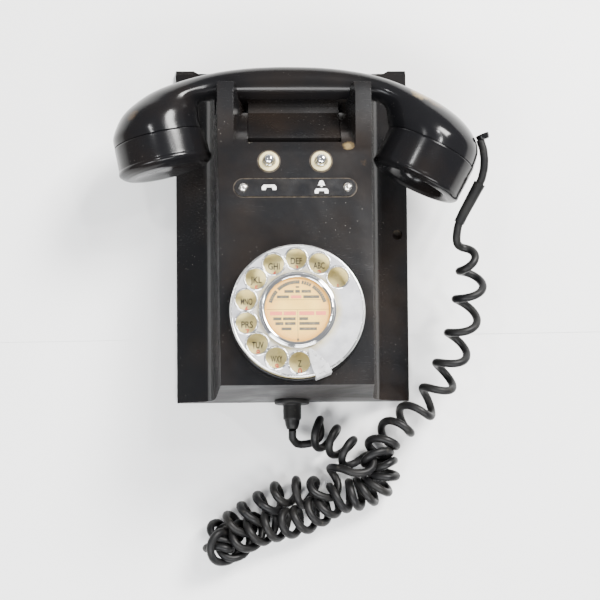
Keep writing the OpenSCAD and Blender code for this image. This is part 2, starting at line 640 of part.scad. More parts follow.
module finger_wheel() {
    color([0.8, 0.8, 0.79]) on_dial(wheel_w) difference() {
        union() {
            cylinder(r = wheel_d / 2 - 0.7, h = wheel_t, $fn = 144);
            translate([0, 0, -1.4]) ring(wheel_d / 2, wheel_d / 2 - 1.2, 1.4 + wheel_t * 0.7);
            translate([0, 0, -5.6]) cylinder(r = 7, h = 6, $fn = 48);
        }
        for (k = [0 : 9]) rotate([0, 0, first_hole_a + hole_step * k])
            translate([finger_hole_r, 0, -3]) cylinder(d = finger_hole_d, h = 8, $fn = 60);
        translate([0, 0, -8]) cylinder(d = shaft_d + 2 * run_gap, h = 12, $fn = 48);
    }
}
module card_ring() {
    color([0.85, 0.85, 0.87]) on_dial(card_ring_w + eps) rotate_extrude($fn = 120) polygon([
        [card_ring_d / 2 - 3.2, 0], [card_ring_d / 2, 0], [card_ring_d / 2, 1.2],
        [card_ring_d / 2 - 0.7, 2.4], [card_ring_d / 2 - 2, 3], [card_ring_d / 2 - 3.4, 2.7],
        [card_ring_d / 2 - 3.8, 1.8], [card_ring_d / 2 - 3.2, 1.7]
    ]);
}
module dial_card() {
    color([0.95, 0.85, 0.6]) on_dial(card_ring_w + 0.3) cylinder(r = card_ring_d / 2 - 3.4, h = 0.5, $fn = 96);
}
module card_window() {
    color([0.9, 0.9, 0.8, 0.3]) on_dial(card_ring_w + 0.85)
        cylinder(r = card_ring_d / 2 - 3.4, h = 0.6, $fn = 96);
}
module dial_shaft() {
    color([0.7, 0.7, 0.7]) on_dial(works_w - 4) cylinder(d = shaft_d, h = card_ring_w - works_w + 4, $fn = 48);
}
module main_gear() {
    color([0.78, 0.66, 0.36]) on_dial(main_w) gear(main_teeth, 0, gear_t, shaft_d / 2 + run_gap);
}
// Angles that put a tooth of one gear in a gap of the other at rest
idler_mesh = idler_a + 180 + 360 / pinion_teeth / 2
    + (idler_a - round(idler_a * main_teeth / 360) * 360 / main_teeth) * main_teeth / pinion_teeth;
module impulse_spindle() {
    // Pinion, large wheel and the ten-pulse cam on one spindle
    color([0.78, 0.66, 0.36]) on_dial() translate([idler_pos[0], idler_pos[1], 0]) {
        translate([0, 0, main_w]) gear(pinion_teeth, idler_mesh, gear_t, 0);
        translate([0, 0, idler_w]) gear(idler_teeth, 0, gear_t, 0);
        translate([0, 0, works_w - 3]) cylinder(d = spindle_d, h = 5 - works_w, $fn = 40);
        translate([0, 0, -20.5]) cylinder(r = 3.6, h = 3, $fn = 40);
    }
}
governor_back = governor_a - 180;
governor_mesh = governor_back + 180 + 360 / pinion_teeth / 2
    + (governor_back - round(governor_back * idler_teeth / 360) * 360 / idler_teeth)
        * idler_teeth / pinion_teeth;
module governor_spindle() {
    // Pinion and the two weights that rub inside the cup
    color([0.7, 0.6, 0.35]) on_dial() translate([governor_pos[0], governor_pos[1], 0]) {
        translate([0, 0, idler_w]) gear(pinion_teeth, governor_mesh, gear_t, 0);
        translate([0, 0, works_w - 3]) cylinder(d = spindle_d, h = 5 - works_w, $fn = 40);
        translate([-5.4, -1, -21.5]) cube([10.8, 2, 3]);
    }
}

function grip_ring(s, n) = let (o = [s[0], s[1]], i = [s[2], s[3]], c = (o + i) / 2, h = (o - i) / 2)
    [for (j = [0 : n - 1]) let (a = 360 * j / n, p = c + h * cos(a)) [p[0], p[1], grip_z + s[4] * sin(a)]];
module handset_body() {
    // Sections from the earpiece's seam, through the grip, to the mouthpiece's seam
    n = 32;
    color([0.05, 0.05, 0.055]) difference() {
        polyhedron([for (s = stations) each grip_ring(s, n)], loft_faces(len(stations), n));
        translate([ear_seam[0], ear_seam[1], grip_z]) rotate([0, 0, -ear_turn]) rotate([90, 0, 0])
            translate([0, 0, -7]) cylinder(r = 21, h = 10, $fn = 64);
        translate([mouth_seam[0], mouth_seam[1], grip_z]) rotate([0, 0, -mouth_turn])
            rotate([90, 0, 0]) translate([0, 0, -7]) cylinder(r = 21, h = 10, $fn = 64);
    }
}
module at_ear(w = 0) {
    // Frame on the earpiece's rim, +Z out of the face
    translate([ear_rim[0], ear_rim[1], grip_z]) rotate([0, 0, -ear_turn]) rotate([90, 0, 0])
        translate([0, 0, w]) children();
}
module at_mouth(w = 0) {
    translate([mouth_rim[0], mouth_rim[1], grip_z]) rotate([0, 0, -mouth_turn])
        rotate([90, 0, 0]) translate([0, 0, w]) children();
}
module ear_cap() {
    color([0.05, 0.05, 0.055]) at_ear() difference() {
        rotate_extrude($fn = 96) polygon([
            [0, ear_cap_h - cap_depth - 2.4], [9, ear_cap_h - cap_depth - 1.8],
            [20, ear_cap_h - cap_depth], [25, ear_cap_h - cap_depth - 0.4],
            [ear_cap_r - 1, 1.6], [ear_cap_r, 0], [ear_cap_r - 0.4, -1.5],
            [ear_seam_r, -cap_depth + eps], [23.4, -cap_depth + eps], [23.6, -2], [17, -1.2],
            [0, -1.2]
        ]);
        for (k = [0 : 5]) rotate([0, 0, 60 * k]) translate([6, 0, -5]) cylinder(r = 1.2, h = 12, $fn = 24);
        translate([0, 0, -5]) cylinder(r = 1.2, h = 12, $fn = 24);
    }
}
module mouth_cap() {
    // Cap with a round mouth opening in a shallow dish
    color([0.05, 0.05, 0.055]) at_mouth() rotate_extrude($fn = 96) polygon([
        [14.5, -4.5], [15.3, -2.5], [19, 1.4], [23.4, mouth_cap_h - mouth_depth],
        [mouth_cap_r - 1.6, 1.6], [mouth_cap_r, 0], [mouth_cap_r - 0.2, -1.6],
        [mouth_seam_r, -mouth_depth + eps], [24.4, -mouth_depth + eps], [24.4, -7], [14.5, -7]
    ]);
}
module ear_capsule() {
    color([0.6, 0.6, 0.6]) at_ear(-cap_depth + 1) cylinder(r = 20, h = cap_depth - 2.6, $fn = 64);
}
module mouth_capsule() {
    color([0.55, 0.55, 0.52]) at_mouth(-mouth_depth + 1) {
        cylinder(r = 23, h = mouth_depth - 8.4, $fn = 64);
        for (k = [0 : 6]) rotate([0, 0, 360 / 7 * k]) translate([8, 0, 0])
            cylinder(r = 2, h = mouth_depth - 7.4, $fn = 24);
    }
}
module cord_entry() {
    color([0.05, 0.05, 0.05]) translate(tail_points[len(tail_points) - 1]) rotate([-90, 0, 22])
        cylinder(r1 = 3.1, r2 = 4, h = 3.2, $fn = 32);
}
module cord_gland() {
    color([0.04, 0.04, 0.04]) at_gland() difference() {
        union() {
            translate([0, 0, -6]) cylinder(r = gland_hole_r - run_gap, h = 7, $fn = 48);
            translate([0, 0, 2 * eps]) cylinder(r = 11.2, h = 2.6, $fn = 64);
            cylinder(r = 5.7, h = 12.4, $fn = 48);
        }
        translate([0, 0, -7]) cylinder(r = cord_d / 2, h = 30, $fn = 32);
    }
}
module cord_boot() {
    color([0.05, 0.05, 0.05]) at_gland(12.4 + eps) difference() {
        cylinder(r1 = 4.8, r2 = 3.3, h = 6.1, $fn = 40);
        translate([0, 0, -1]) cylinder(r = cord_d / 2, h = 10, $fn = 32);
    }
}
module cord_lead_case() { color(cord_color) tube(lead_case_points, cord_d / 2, 8); }
module curl_first() { color(cord_color) tube(first_axis, curl_d / 2, 12); }
module curl_link() { color(cord_color) tube(link_points, cord_d / 2, 8); }
module curl_row_upper() { color(cord_color) tube(upper_axis, curl_d / 2, 12); }
module curl_row_lower() { color(cord_color) tube(lower_axis, curl_d / 2, 12); }
module curl_fan() { color(cord_color) tube(fan_axis, curl_d / 2, 12); }
module curl_rise_low() { color(cord_color) tube(rise_low_axis, curl_d / 2, 12); }
module curl_rise_high() { color(cord_color) tube(rise_high_axis, curl_d / 2, 12); }
module cord_lead_handset() { color(cord_color) tube(lead_handset_points, cord_d / 2, 8); }
module cord_sleeve() { color(cord_color) tube(sleeve_points, cord_d / 2 + 0.9, 10); }
module cord_tail() { color(cord_color) tube(tail_points, cord_d / 2, 8); }

case();
base_plate();
case_screws();
dial_collar();
dial_frame();
number_plate();
finger_stop();
mainspring();
governor_cup();
impulse_contacts();
button_bezels();
button_contacts();
label_plate();
label_screws();
gongs();
gong_screws();
ringer_frame();
ringer_coils();
ringer_magnet();
induction_coil();
capacitor();
terminal_block();
terminal_screws();
hook_contacts();
cord_gland();
cord_boot();
cord_lead_case();
curl_first();
curl_link();
curl_row_upper();
curl_row_lower();
curl_fan();
curl_rise_low();
curl_rise_high();
cradle_rocker();
rocker_pin();
hook_lever();
finger_wheel();
card_ring();
dial_card();
card_window();
dial_shaft();
main_gear();
impulse_spindle();
governor_spindle();
button_left();
button_right();
clapper();
handset_body();
ear_cap();
mouth_cap();
ear_capsule();
mouth_capsule();
cord_entry();
cord_tail();
cord_sleeve();
cord_lead_handset();
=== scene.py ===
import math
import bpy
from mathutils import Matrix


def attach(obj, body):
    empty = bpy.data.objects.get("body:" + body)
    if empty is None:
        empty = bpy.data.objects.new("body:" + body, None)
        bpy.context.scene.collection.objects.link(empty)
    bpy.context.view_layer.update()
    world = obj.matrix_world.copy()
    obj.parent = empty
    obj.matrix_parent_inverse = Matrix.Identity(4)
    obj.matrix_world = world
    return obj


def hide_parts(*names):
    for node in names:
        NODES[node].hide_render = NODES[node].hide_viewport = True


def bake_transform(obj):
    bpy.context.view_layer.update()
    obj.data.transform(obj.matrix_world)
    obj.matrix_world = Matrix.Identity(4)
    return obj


bl_info = {
    "name": "Rotary wall telephone",
    "version": (1, 0, 0),
    "blender": (4, 5, 0),
    "location": "View3D > Sidebar > Telephone",
    "description": "Builds the outside of a wall telephone with a dial, a handset and a curly cord",
    "category": "Add Mesh",
}

import bmesh
import bpy
import numpy as np
from mathutils import Matrix, Vector

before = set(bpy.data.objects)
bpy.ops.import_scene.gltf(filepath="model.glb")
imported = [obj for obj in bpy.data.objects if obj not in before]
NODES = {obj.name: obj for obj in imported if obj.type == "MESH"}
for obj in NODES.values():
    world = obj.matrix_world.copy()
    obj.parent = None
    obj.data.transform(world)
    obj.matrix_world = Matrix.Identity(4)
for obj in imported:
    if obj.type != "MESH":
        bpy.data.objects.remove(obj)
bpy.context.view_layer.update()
MM = 0.001


# ---------------------------------------------------------------- shapes

def unit(v):
    """Each vector divided by its own length."""
    v = np.asarray(v, float)
    return v / np.linalg.norm(v, axis=-1, keepdims=True)


class Place:
    """Where a shape drawn in millimetres goes: an origin in millimetres and three directions."""

    def __init__(self, origin, x, y, z):
        self.origin = np.array(origin, float)
        self.basis = np.array([x, y, z], float)

    def put(self, points):
        """World point in metres = origin + x * first + y * second + z * third direction."""
        return (self.origin + np.asarray(points, float) @ self.basis) * MM

    def moved(self, x, y, z=0.0):
        """The same frame, moved along its own directions."""
        return Place(self.origin + np.array([x, y, z]) @ self.basis, *self.basis)


TILT = math.radians(9.0)
PANEL_LOW_Y, PANEL_LOW_Z = -93.0, 95.0


def on_panel(x, y):
    """Frame on the sloped front: the height falls with y by the tangent of the slope."""
    z = PANEL_LOW_Z - (y - PANEL_LOW_Y) * math.tan(TILT)
    return Place((x, y, z), (1, 0, 0), (0, math.cos(TILT), -math.sin(TILT)),
                 (0, math.sin(TILT), math.cos(TILT)))


DIAL_Y = -52.9
DIAL = on_panel(0.0, DIAL_Y)
GRIP_Z = 50.0
EAR_TURN, MOUTH_TURN = math.radians(13.4), math.radians(-27.5)


def on_cap(rim_x, rim_y, turn):
    """Frame on a cap's rim, with its third direction out of the face."""
    c, s = math.cos(turn), math.sin(turn)
    return Place((rim_x, rim_y, GRIP_Z), (c, s, 0), (0, 0, 1), (s, -c, 0))


EAR = on_cap(-77.5, 38.0, EAR_TURN)
MOUTH = on_cap(74.0, 29.5, MOUTH_TURN)
LEAN = math.atan(14.5 / 95.0)
GLAND = Place((-1.3, -107.5 + 14.0 * math.tan(LEAN), 14.0), (1, 0, 0),
              (0, math.sin(LEAN), math.cos(LEAN)), (0, -math.cos(LEAN), math.sin(LEAN)))


def grid_faces(rows, cols, wrap_rows, wrap_cols):
    """Four-cornered faces between neighbouring rows and columns of points."""
    i, j = np.meshgrid(np.arange(rows - (not wrap_rows)), np.arange(cols - (not wrap_cols)),
                       indexing="ij")
    below, right = (i + 1) % rows, (j + 1) % cols
    faces = np.stack([i * cols + j, i * cols + right, below * cols + right, below * cols + j], -1)
    return faces.reshape(-1, 4)


def add_surface(name, sheets, smooth_deg=38.0):
    """One mesh from several point grids. A sheet is (grid, wrap_rows, wrap_cols). Points that coincide are
    merged, which closes poles and seams, and the faces are then turned outwards."""
    points, faces, start = [], [], 0
    for grid, wrap_rows, wrap_cols in sheets:
        rows, cols = grid.shape[:2]
        points.append(grid.reshape(-1, 3))
        faces.append(grid_faces(rows, cols, wrap_rows, wrap_cols) + start)
        start += rows * cols
    points, faces = np.concatenate(points), np.concatenate(faces)
    mesh = bpy.data.meshes.new(name)
    mesh.vertices.add(len(points))
    mesh.vertices.foreach_set("co", points.astype(np.float32).ravel())
    mesh.loops.add(faces.size)
    mesh.loops.foreach_set("vertex_index", faces.astype(np.int32).ravel())
    mesh.polygons.add(len(faces))
    mesh.polygons.foreach_set("loop_start", np.arange(0, faces.size, 4, dtype=np.int32))
    mesh.update(calc_edges=True)
    bm = bmesh.new()
    bm.from_mesh(mesh)
    bmesh.ops.remove_doubles(bm, verts=bm.verts, dist=2e-6)
    bmesh.ops.dissolve_degenerate(bm, edges=bm.edges, dist=1e-7)
    bmesh.ops.recalc_face_normals(bm, faces=bm.faces)
    bm.to_mesh(mesh)
    bm.free()
    mesh.validate()
    mesh.shade_smooth()
    mesh.set_sharp_from_angle(angle=math.radians(smooth_deg))
    piece = bpy.data.objects.new(name, mesh)
    bpy.context.scene.collection.objects.link(piece)
    return piece


def soften(profile, reach, steps=5):
    """Each inner corner becomes a curve: from a point before it to one after it, pulled to the corner with
    weights (1-t)^2, 2t(1-t) and t^2."""
    p = np.asarray(profile, float)
    a, b, c = p[:-2], p[1:-1], p[2:]
    la = np.linalg.norm(a - b, axis=1, keepdims=True)
    lc = np.linalg.norm(c - b, axis=1, keepdims=True)
    start = b + (a - b) / la * np.minimum(reach, 0.48 * la)
    end = b + (c - b) / lc * np.minimum(reach, 0.48 * lc)
    t = np.linspace(0, 1, steps)[None, :, None]
    curve = (1 - t) ** 2 * start[:, None] + 2 * t * (1 - t) * b[:, None] + t ** 2 * end[:, None]
    return np.vstack([p[:1], curve.reshape(-1, 2), p[-1:]])


def turned(profile, place, steps=96, closed=False):
    """A profile of (radius, height) swept round the third direction: (r cos a, r sin a, h)."""
    p = np.asarray(profile, float)
    a = np.linspace(0, 2 * math.pi, steps, endpoint=False)
    grid = np.stack([p[:, :1] * np.cos(a), p[:, :1] * np.sin(a),
                     np.repeat(p[:, 1:], steps, 1)], -1)
    return place.put(grid), closed, True


def through(points, count):
    """Smooth curve through rows of numbers: between two rows, each value follows the cubic whose slopes
    there are half the difference of the rows on either side. count samples, evenly spread over the rows."""
    p = np.asarray(points, float)
    n = len(p)
    u = np.linspace(0, n - 1, count)
    i = np.minimum(u.astype(int), n - 2)
    t = (u - i)[:, None]
    before, a, b, after = p[np.maximum(i - 1, 0)], p[i], p[i + 1], p[np.minimum(i + 2, n - 1)]
    return 0.5 * (2 * a + (b - before) * t + (2 * before - 5 * a + 4 * b - after) * t ** 2
                  + (3 * a - before - 3 * b + after) * t ** 3)


def even(path, count):
    """The same curve with its points an equal distance apart."""
    length = np.concatenate([[0], np.cumsum(np.linalg.norm(np.diff(path, axis=0), axis=1))])
    at = np.linspace(0, length[-1], count)
    return np.stack([np.interp(at, length, path[:, k]) for k in range(path.shape[1])], 1)


def swept(path, radius, sides):
    """Round tube: ring point = path + radius * (cos a * side + sin a * rise). The side direction is carried
    from ring to ring with the least twist."""
    tangent = unit(np.gradient(path, axis=0))
    side = np.empty_like(path)
    first = np.array([0.0, 0.0, 1.0]) if abs(tangent[0, 2]) < 0.9 else np.array([1.0, 0.0, 0.0])
    side[0] = unit(np.cross(tangent[0], first))
    for k in range(1, len(path)):
        v = side[k - 1] - tangent[k] * (side[k - 1] @ tangent[k])
        side[k] = v / math.sqrt(v @ v)
    rise = np.cross(tangent, side)
    a = np.linspace(0, 2 * math.pi, sides, endpoint=False)
    r = np.broadcast_to(np.asarray(radius, float), (len(path),))[:, None, None]
    return path[:, None] + r * (np.cos(a)[None, :, None] * side[:, None]
                                + np.sin(a)[None, :, None] * rise[:, None])


def closed_tube(path, radius, sides):
    """A swept tube whose two ends are closed by a point on the path."""
    grid = swept(path, radius, sides)
    ends = [np.repeat(path[k][None, None], sides, 1) for k in (0, -1)]
    return np.concatenate([ends[0], grid, ends[1]]), False, True


def dressed(piece, look, body, replaces=()):
    """Gives a finished piece its finish, its body and the CAD nodes it stands for."""
    piece.data.materials.clear()
    piece.data.materials.append(finish(look))
    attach(piece, body)
    if replaces:
        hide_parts(*replaces)
    return piece


def add_turned(name, profile, place, steps, look, body, replaces=(), closed=False):
    """One turned piece, dressed."""
    return dressed(add_surface(name, [turned(profile, place, steps, closed)]), look, body, replaces)


def copy_of_node(node, name, bevel_mm, segments=3, limit_deg=28.0):
    """A merged copy of a CAD node with its sharp edges rounded."""
    mesh = NODES[node].data.copy()
    mesh.name = name
    bm = bmesh.new()
    bm.from_mesh(mesh)
    bmesh.ops.remove_doubles(bm, verts=bm.verts, dist=1e-5)
    bmesh.ops.dissolve_limit(bm, angle_limit=math.radians(0.6), verts=bm.verts, edges=bm.edges)
    bm.to_mesh(mesh)
    bm.free()
    if "custom_normal" in mesh.attributes:
        mesh.attributes.remove(mesh.attributes["custom_normal"])
    mesh.shade_smooth()
    mesh.set_sharp_from_angle(angle=math.radians(limit_deg))
    piece = bpy.data.objects.new(name, mesh)
    bpy.context.scene.collection.objects.link(piece)
    bevel = piece.modifiers.new("rounded_edges", "BEVEL")
    bevel.width = bevel_mm * MM
    bevel.segments = segments
    bevel.limit_method = "ANGLE"
    bevel.angle_limit = math.radians(limit_deg)
    bevel.harden_normals = True
    bevel.miter_outer = "MITER_ARC"
    return piece


# ---------------------------------------------------------------- finishes

class Finish:
    """A node material on the piece's Object coordinates, with short calls for the nodes it needs."""

    def __init__(self, name, colour, roughness, metallic=0.0, **sockets):
        self.material = bpy.data.materials.new(name)
        self.material.use_nodes = True
        self.nodes = self.material.node_tree.nodes
        self.links = self.material.node_tree.links
        self.shader = self.nodes["Principled BSDF"]
        self.set("Base Color", colour)
        self.set("Roughness", roughness)
        self.set("Metallic", metallic)
        for key, value in sockets.items():
            self.set(key.replace("_", " "), value)
        self.material.diffuse_color = (*colour[:3], 1.0)
        self.coords = self.nodes.new("ShaderNodeTexCoord").outputs["Object"]

    def set(self, socket, value):
        """Sets a number or a colour on the shader's own socket."""
        if isinstance(value, tuple) and len(value) == 3:
            value = (*value, 1.0)
        self.shader.inputs[socket].default_value = value

    def wire(self, source, socket):
        """Leads a pattern into the shader."""
        self.links.new(source, self.shader.inputs[socket])

    def node(self, kind, inputs=None, **settings):
        """A new node. Its inputs are numbers, or sockets that are linked."""
        made = self.nodes.new(kind)
        for key, value in settings.items():
            setattr(made, key, value)
        for key, value in (inputs or {}).items():
            if isinstance(value, bpy.types.NodeSocket):
                self.links.new(value, made.inputs[key])
            else:
                made.inputs[key].default_value = value
        return made

    def dial_radius(self):
        """Distance from the dial's axis: coordinates counted from the dial's middle and turned back by the
        panel's slope, with the part along the axis left out."""
        moved = self.node("ShaderNodeMapping", {"Vector": self.coords,
                                                "Location": tuple(-v * MM for v in DIAL.origin)})
        local = self.node("ShaderNodeMapping", {"Vector": moved.outputs[0], "Rotation": (TILT, 0, 0)})
        flat = self.node("ShaderNodeVectorMath", {0: local.outputs[0], 1: (1.0, 1.0, 0.0)},
                         operation="MULTIPLY")
        return self.node("ShaderNodeVectorMath", {0: flat.outputs[0]}, operation="LENGTH").outputs["Value"]

    def noise(self, scale, detail=3.0, rough=0.55, vector=None, distortion=0.0):
        """Cloudy pattern from 0 to 1, with that many clouds to the metre."""
        return self.node("ShaderNodeTexNoise", {"Vector": vector or self.coords, "Scale": scale,
                         "Detail": detail, "Roughness": rough, "Distortion": distortion}).outputs["Fac"]

    def cells(self, scale):
        """Distance from the nearest of many scattered points."""
        return self.node("ShaderNodeTexVoronoi", {"Vector": self.coords, "Scale": scale}).outputs["Distance"]

    def steps(self, value, low, high, to_low=0.0, to_high=1.0):
        """Linear change from to_low at low to to_high at high, level outside."""
        return self.node("ShaderNodeMapRange", {"Value": value, "From Min": low, "From Max": high,
                         "To Min": to_low, "To Max": to_high}).outputs["Result"]

    def plus(self, a, b):
        return self.node("ShaderNodeMath", {0: a, 1: b}, operation="ADD").outputs[0]

    def times(self, a, b):
        return self.node("ShaderNodeMath", {0: a, 1: b}, operation="MULTIPLY").outputs[0]

    def mix(self, share, a, b):
        """Colour a where the share is 0, b where it is 1."""
        made = self.node("ShaderNodeMix", data_type="RGBA")
        for index, value in ((0, share), (6, a), (7, b)):
            if isinstance(value, bpy.types.NodeSocket):
                self.links.new(value, made.inputs[index])
            else:
                made.inputs[index].default_value = (*value, 1.0) if isinstance(value, tuple) else value
        return made.outputs[2]

    def bump(self, height, strength, depth_mm, before=None):
        """Normal of a skin with that height pattern, laid over another bump if there is one."""
        inputs = {"Height": height, "Strength": strength, "Distance": depth_mm * MM}
        if before is not None:
            inputs["Normal"] = before
        return self.node("ShaderNodeBump", inputs).outputs[0]


def chosen(name):
    """A colour from the add-on's panel."""
    return tuple(getattr(bpy.context.scene.telephone_colours, name))


def black_moulding(name, dust, gloss, brown, spots=(), level=0.36):
    """Black phenolic: nearly black with faint brown clouds, smeared gloss, fine scratches and pale dust. A
    spot is a place in millimetres, its radius, how strong it is and its colour. The level is that of the
    reflection."""
    f = Finish(name, (0.012, 0.012, 0.013), gloss, Specular_IOR_Level=level)
    clouds = f.steps(f.noise(24, 4), 0.42, 0.72)
    colour = f.mix(f.times(clouds, brown), chosen("moulding"), (0.017, 0.0105, 0.0065))
    film = f.steps(f.noise(9, 5, 0.6), 0.35, 0.75)
    colour = f.mix(f.times(film, dust * 0.2), colour, (0.036, 0.034, 0.031))
    specks = f.steps(f.cells(420), 0.03, 0.10, 1.0, 0.0)
    patches = f.steps(f.noise(33, 2), 0.53, 0.63)
    dots = f.times(f.times(specks, patches), dust)
    colour = f.mix(dots, colour, (0.42, 0.4, 0.36))
    for place, reach, strength, stain in spots:
        away = f.node("ShaderNodeVectorMath", {0: f.coords, 1: tuple(v * MM for v in place)},
                      operation="DISTANCE")
        near = f.steps(away.outputs["Value"], 0.0, reach * MM, 1.0, 0.0)
        ragged = f.steps(f.times(near, f.noise(420, 5, 0.7)), 0.16, 0.34, 0.0, strength)
        colour = f.mix(ragged, colour, stain)
    f.wire(colour, "Base Color")
    smear = f.steps(f.noise(14, 4, 0.62, distortion=0.6), 0.3, 0.75, gloss * 0.72, gloss * 1.55)
    thin = f.noise(260, 2, 0.5, f.node("ShaderNodeMapping", {"Vector": f.coords, "Scale": (1.0, 9.0, 3.0),
                   "Rotation": (0.2, 0.5, 0.7)}).outputs[0])
    f.wire(f.plus(smear, f.steps(thin, 0.62, 0.7, 0.0, 0.05)), "Roughness")
    f.wire(f.bump(f.noise(160, 3), 0.25, 0.05, f.bump(f.noise(30, 2), 0.2, 0.12)), "Normal")
    return f.material


def cord_rubber():
    """Dull black rubber with grey bloom, a fine skin and scuffed places."""
    f = Finish("cord_rubber_black", (0.008, 0.008, 0.008), 0.45, Specular_IOR_Level=0.22)
    bloom = f.steps(f.noise(60, 4), 0.4, 0.75)
    scuff = f.steps(f.noise(210, 3), 0.62, 0.75)
    colour = f.mix(bloom, chosen("cord"), (0.011, 0.0105, 0.0095))
    f.wire(f.mix(f.times(scuff, 0.5), colour, (0.045, 0.041, 0.034)), "Base Color")
    f.wire(f.steps(f.noise(90, 3), 0.3, 0.7, 0.36, 0.58), "Roughness")
    f.wire(f.bump(f.noise(900, 2), 0.3, 0.05), "Normal")
    return f.material


def satin_aluminium():
    """Turned aluminium: faint rings round the dial's axis, grey blotches, scratches and yellow grime that
    gathers against the centre ring."""
    f = Finish("satin_aluminium", (0.8, 0.8, 0.79), 0.32, 1.0)
    radius = f.dial_radius()
    rings = f.node("ShaderNodeTexNoise", {"W": f.times(radius, 9000.0), "Scale": 1.0, "Detail": 2.0},
                   noise_dimensions="1D").outputs["Fac"]
    blotch = f.steps(f.noise(70, 5, 0.6), 0.35, 0.75)
    colour = f.mix(blotch, (0.55, 0.55, 0.565), (0.34, 0.34, 0.36))
    grime = f.times(f.steps(radius, 0.0216, 0.0262, 1.0, 0.0),
                  f.steps(f.noise(160, 4), 0.25, 0.65, 0.35, 1.0))
    colour = f.mix(grime, colour, (0.36, 0.29, 0.10))
    f.wire(colour, "Base Color")
    f.wire(f.steps(grime, 0.2, 0.9, 0.55, 0.1), "Metallic")
    f.wire(f.plus(f.steps(f.noise(120, 4), 0.3, 0.7, 0.34, 0.54), f.times(grime, 0.25)), "Roughness")
    f.wire(f.bump(rings, 0.12, 0.03, f.bump(f.noise(400, 3), 0.15, 0.04)), "Normal")
    return f.material


def plated(name, colour, roughness, tarnish=(0.3, 0.26, 0.18), share=0.35, scale=140):
    """Bright plate with thin tarnish clouds and fine pits."""
    f = Finish(name, colour, roughness, 1.0)
    cloud = f.steps(f.noise(scale, 5, 0.6), 0.5, 0.8, 0.0, share)
    f.wire(f.mix(cloud, colour, tarnish), "Base Color")
    f.wire(f.steps(f.noise(scale * 1.7, 4), 0.35, 0.75, roughness * 0.7, roughness * 2.2), "Roughness")
    f.wire(f.bump(f.steps(f.cells(scale * 9), 0.0, 0.2), 0.06, 0.02), "Normal")
    return f.material


def plain(name, colour, roughness, metallic=0.0, other=None, scale=90, share=0.6, bump=0.15, **sockets):
    """Two close colours in soft clouds, with uneven gloss and a fine skin."""
    f = Finish(name, colour, roughness, metallic, **sockets)
    other = other or tuple(c * 0.6 for c in colour)
    f.wire(f.mix(f.steps(f.noise(scale, 4), 0.4, 0.72, 0.0, share), colour, other), "Base Color")
    gloss = f.steps(f.noise(scale * 1.6, 3), 0.3, 0.7, roughness * 0.8, min(1.0, roughness * 1.3))
    f.wire(gloss, "Roughness")
    f.wire(f.bump(f.noise(scale * 6, 2), bump, 0.05), "Normal")
    return f.material


def aged_enamel():
    """Cream enamel gone yellow, with brown dirt in blots."""
    f = Finish("aged_enamel", (0.86, 0.8, 0.52), 0.3)
    old = f.steps(f.noise(55, 4), 0.35, 0.7)
    colour = f.mix(old, chosen("enamel"), (0.52, 0.40, 0.13))
    dirt = f.steps(f.noise(190, 5, 0.65), 0.56, 0.74, 0.0, 0.55)
    f.wire(f.mix(dirt, colour, (0.22, 0.15, 0.05)), "Base Color")
    f.wire(f.steps(f.noise(150, 3), 0.3, 0.7, 0.22, 0.42), "Roughness")
    f.wire(f.bump(f.noise(300, 3), 0.1, 0.04), "Normal")
    return f.material


def old_card():
    """Paper yellowed to orange at its edge, with fibres."""
    f = Finish("old_card", (0.9, 0.74, 0.42), 0.75)
    radius = f.dial_radius()
    edge = f.steps(radius, 0.010, 0.0175)
    colour = f.mix(f.steps(f.noise(80, 4), 0.35, 0.7), chosen("card"), (0.76, 0.45, 0.06))
    colour = f.mix(f.times(edge, 0.7), colour, (0.66, 0.28, 0.03))
    f.wire(f.mix(f.steps(f.noise(500, 3), 0.6, 0.75, 0.0, 0.25), colour, (0.5, 0.34, 0.16)), "Base Color")
    f.wire(f.bump(f.noise(900, 3), 0.2, 0.03), "Normal")
    return f.material


def clear_sheet():
    """Thin clear celluloid: mostly see-through, with faint scratches in its gloss."""
    f = Finish("clear_celluloid", (1.0, 0.92, 0.6), 0.08, Alpha=0.04)
    f.wire(f.steps(f.noise(200, 4), 0.4, 0.7, 0.04, 0.16), "Roughness")
    return f.material


def print_ink(name, colour):
    """Ink that has worn thin in places."""
    f = Finish(name, colour, 0.6)
    pale = tuple(0.7 * c + 0.3 * p for c, p in zip(colour, (0.8, 0.6, 0.3)))
    f.wire(f.mix(f.steps(f.noise(420, 4), 0.5, 0.8, 0.0, 0.6), colour, pale), "Base Color")
    return f.material


def worn_white(name):
    """White fill in engraved marks, grey in places."""
    f = Finish(name, (0.8, 0.8, 0.78), 0.5)
    f.wire(f.mix(f.steps(f.noise(300, 3), 0.45, 0.7), (0.86, 0.86, 0.84), (0.55, 0.54, 0.5)), "Base Color")
    return f.material


def table_top():
    """Pale table with faint smudges."""
    f = Finish("pale_table", (0.82, 0.82, 0.81), 0.45)
    f.wire(f.mix(f.steps(f.noise(5, 4), 0.35, 0.7), (0.93, 0.93, 0.925), (0.89, 0.887, 0.875)), "Base Color")
    f.wire(f.steps(f.noise(7, 4), 0.3, 0.7, 0.35, 0.55), "Roughness")
    return f.material


FINISHES = {}
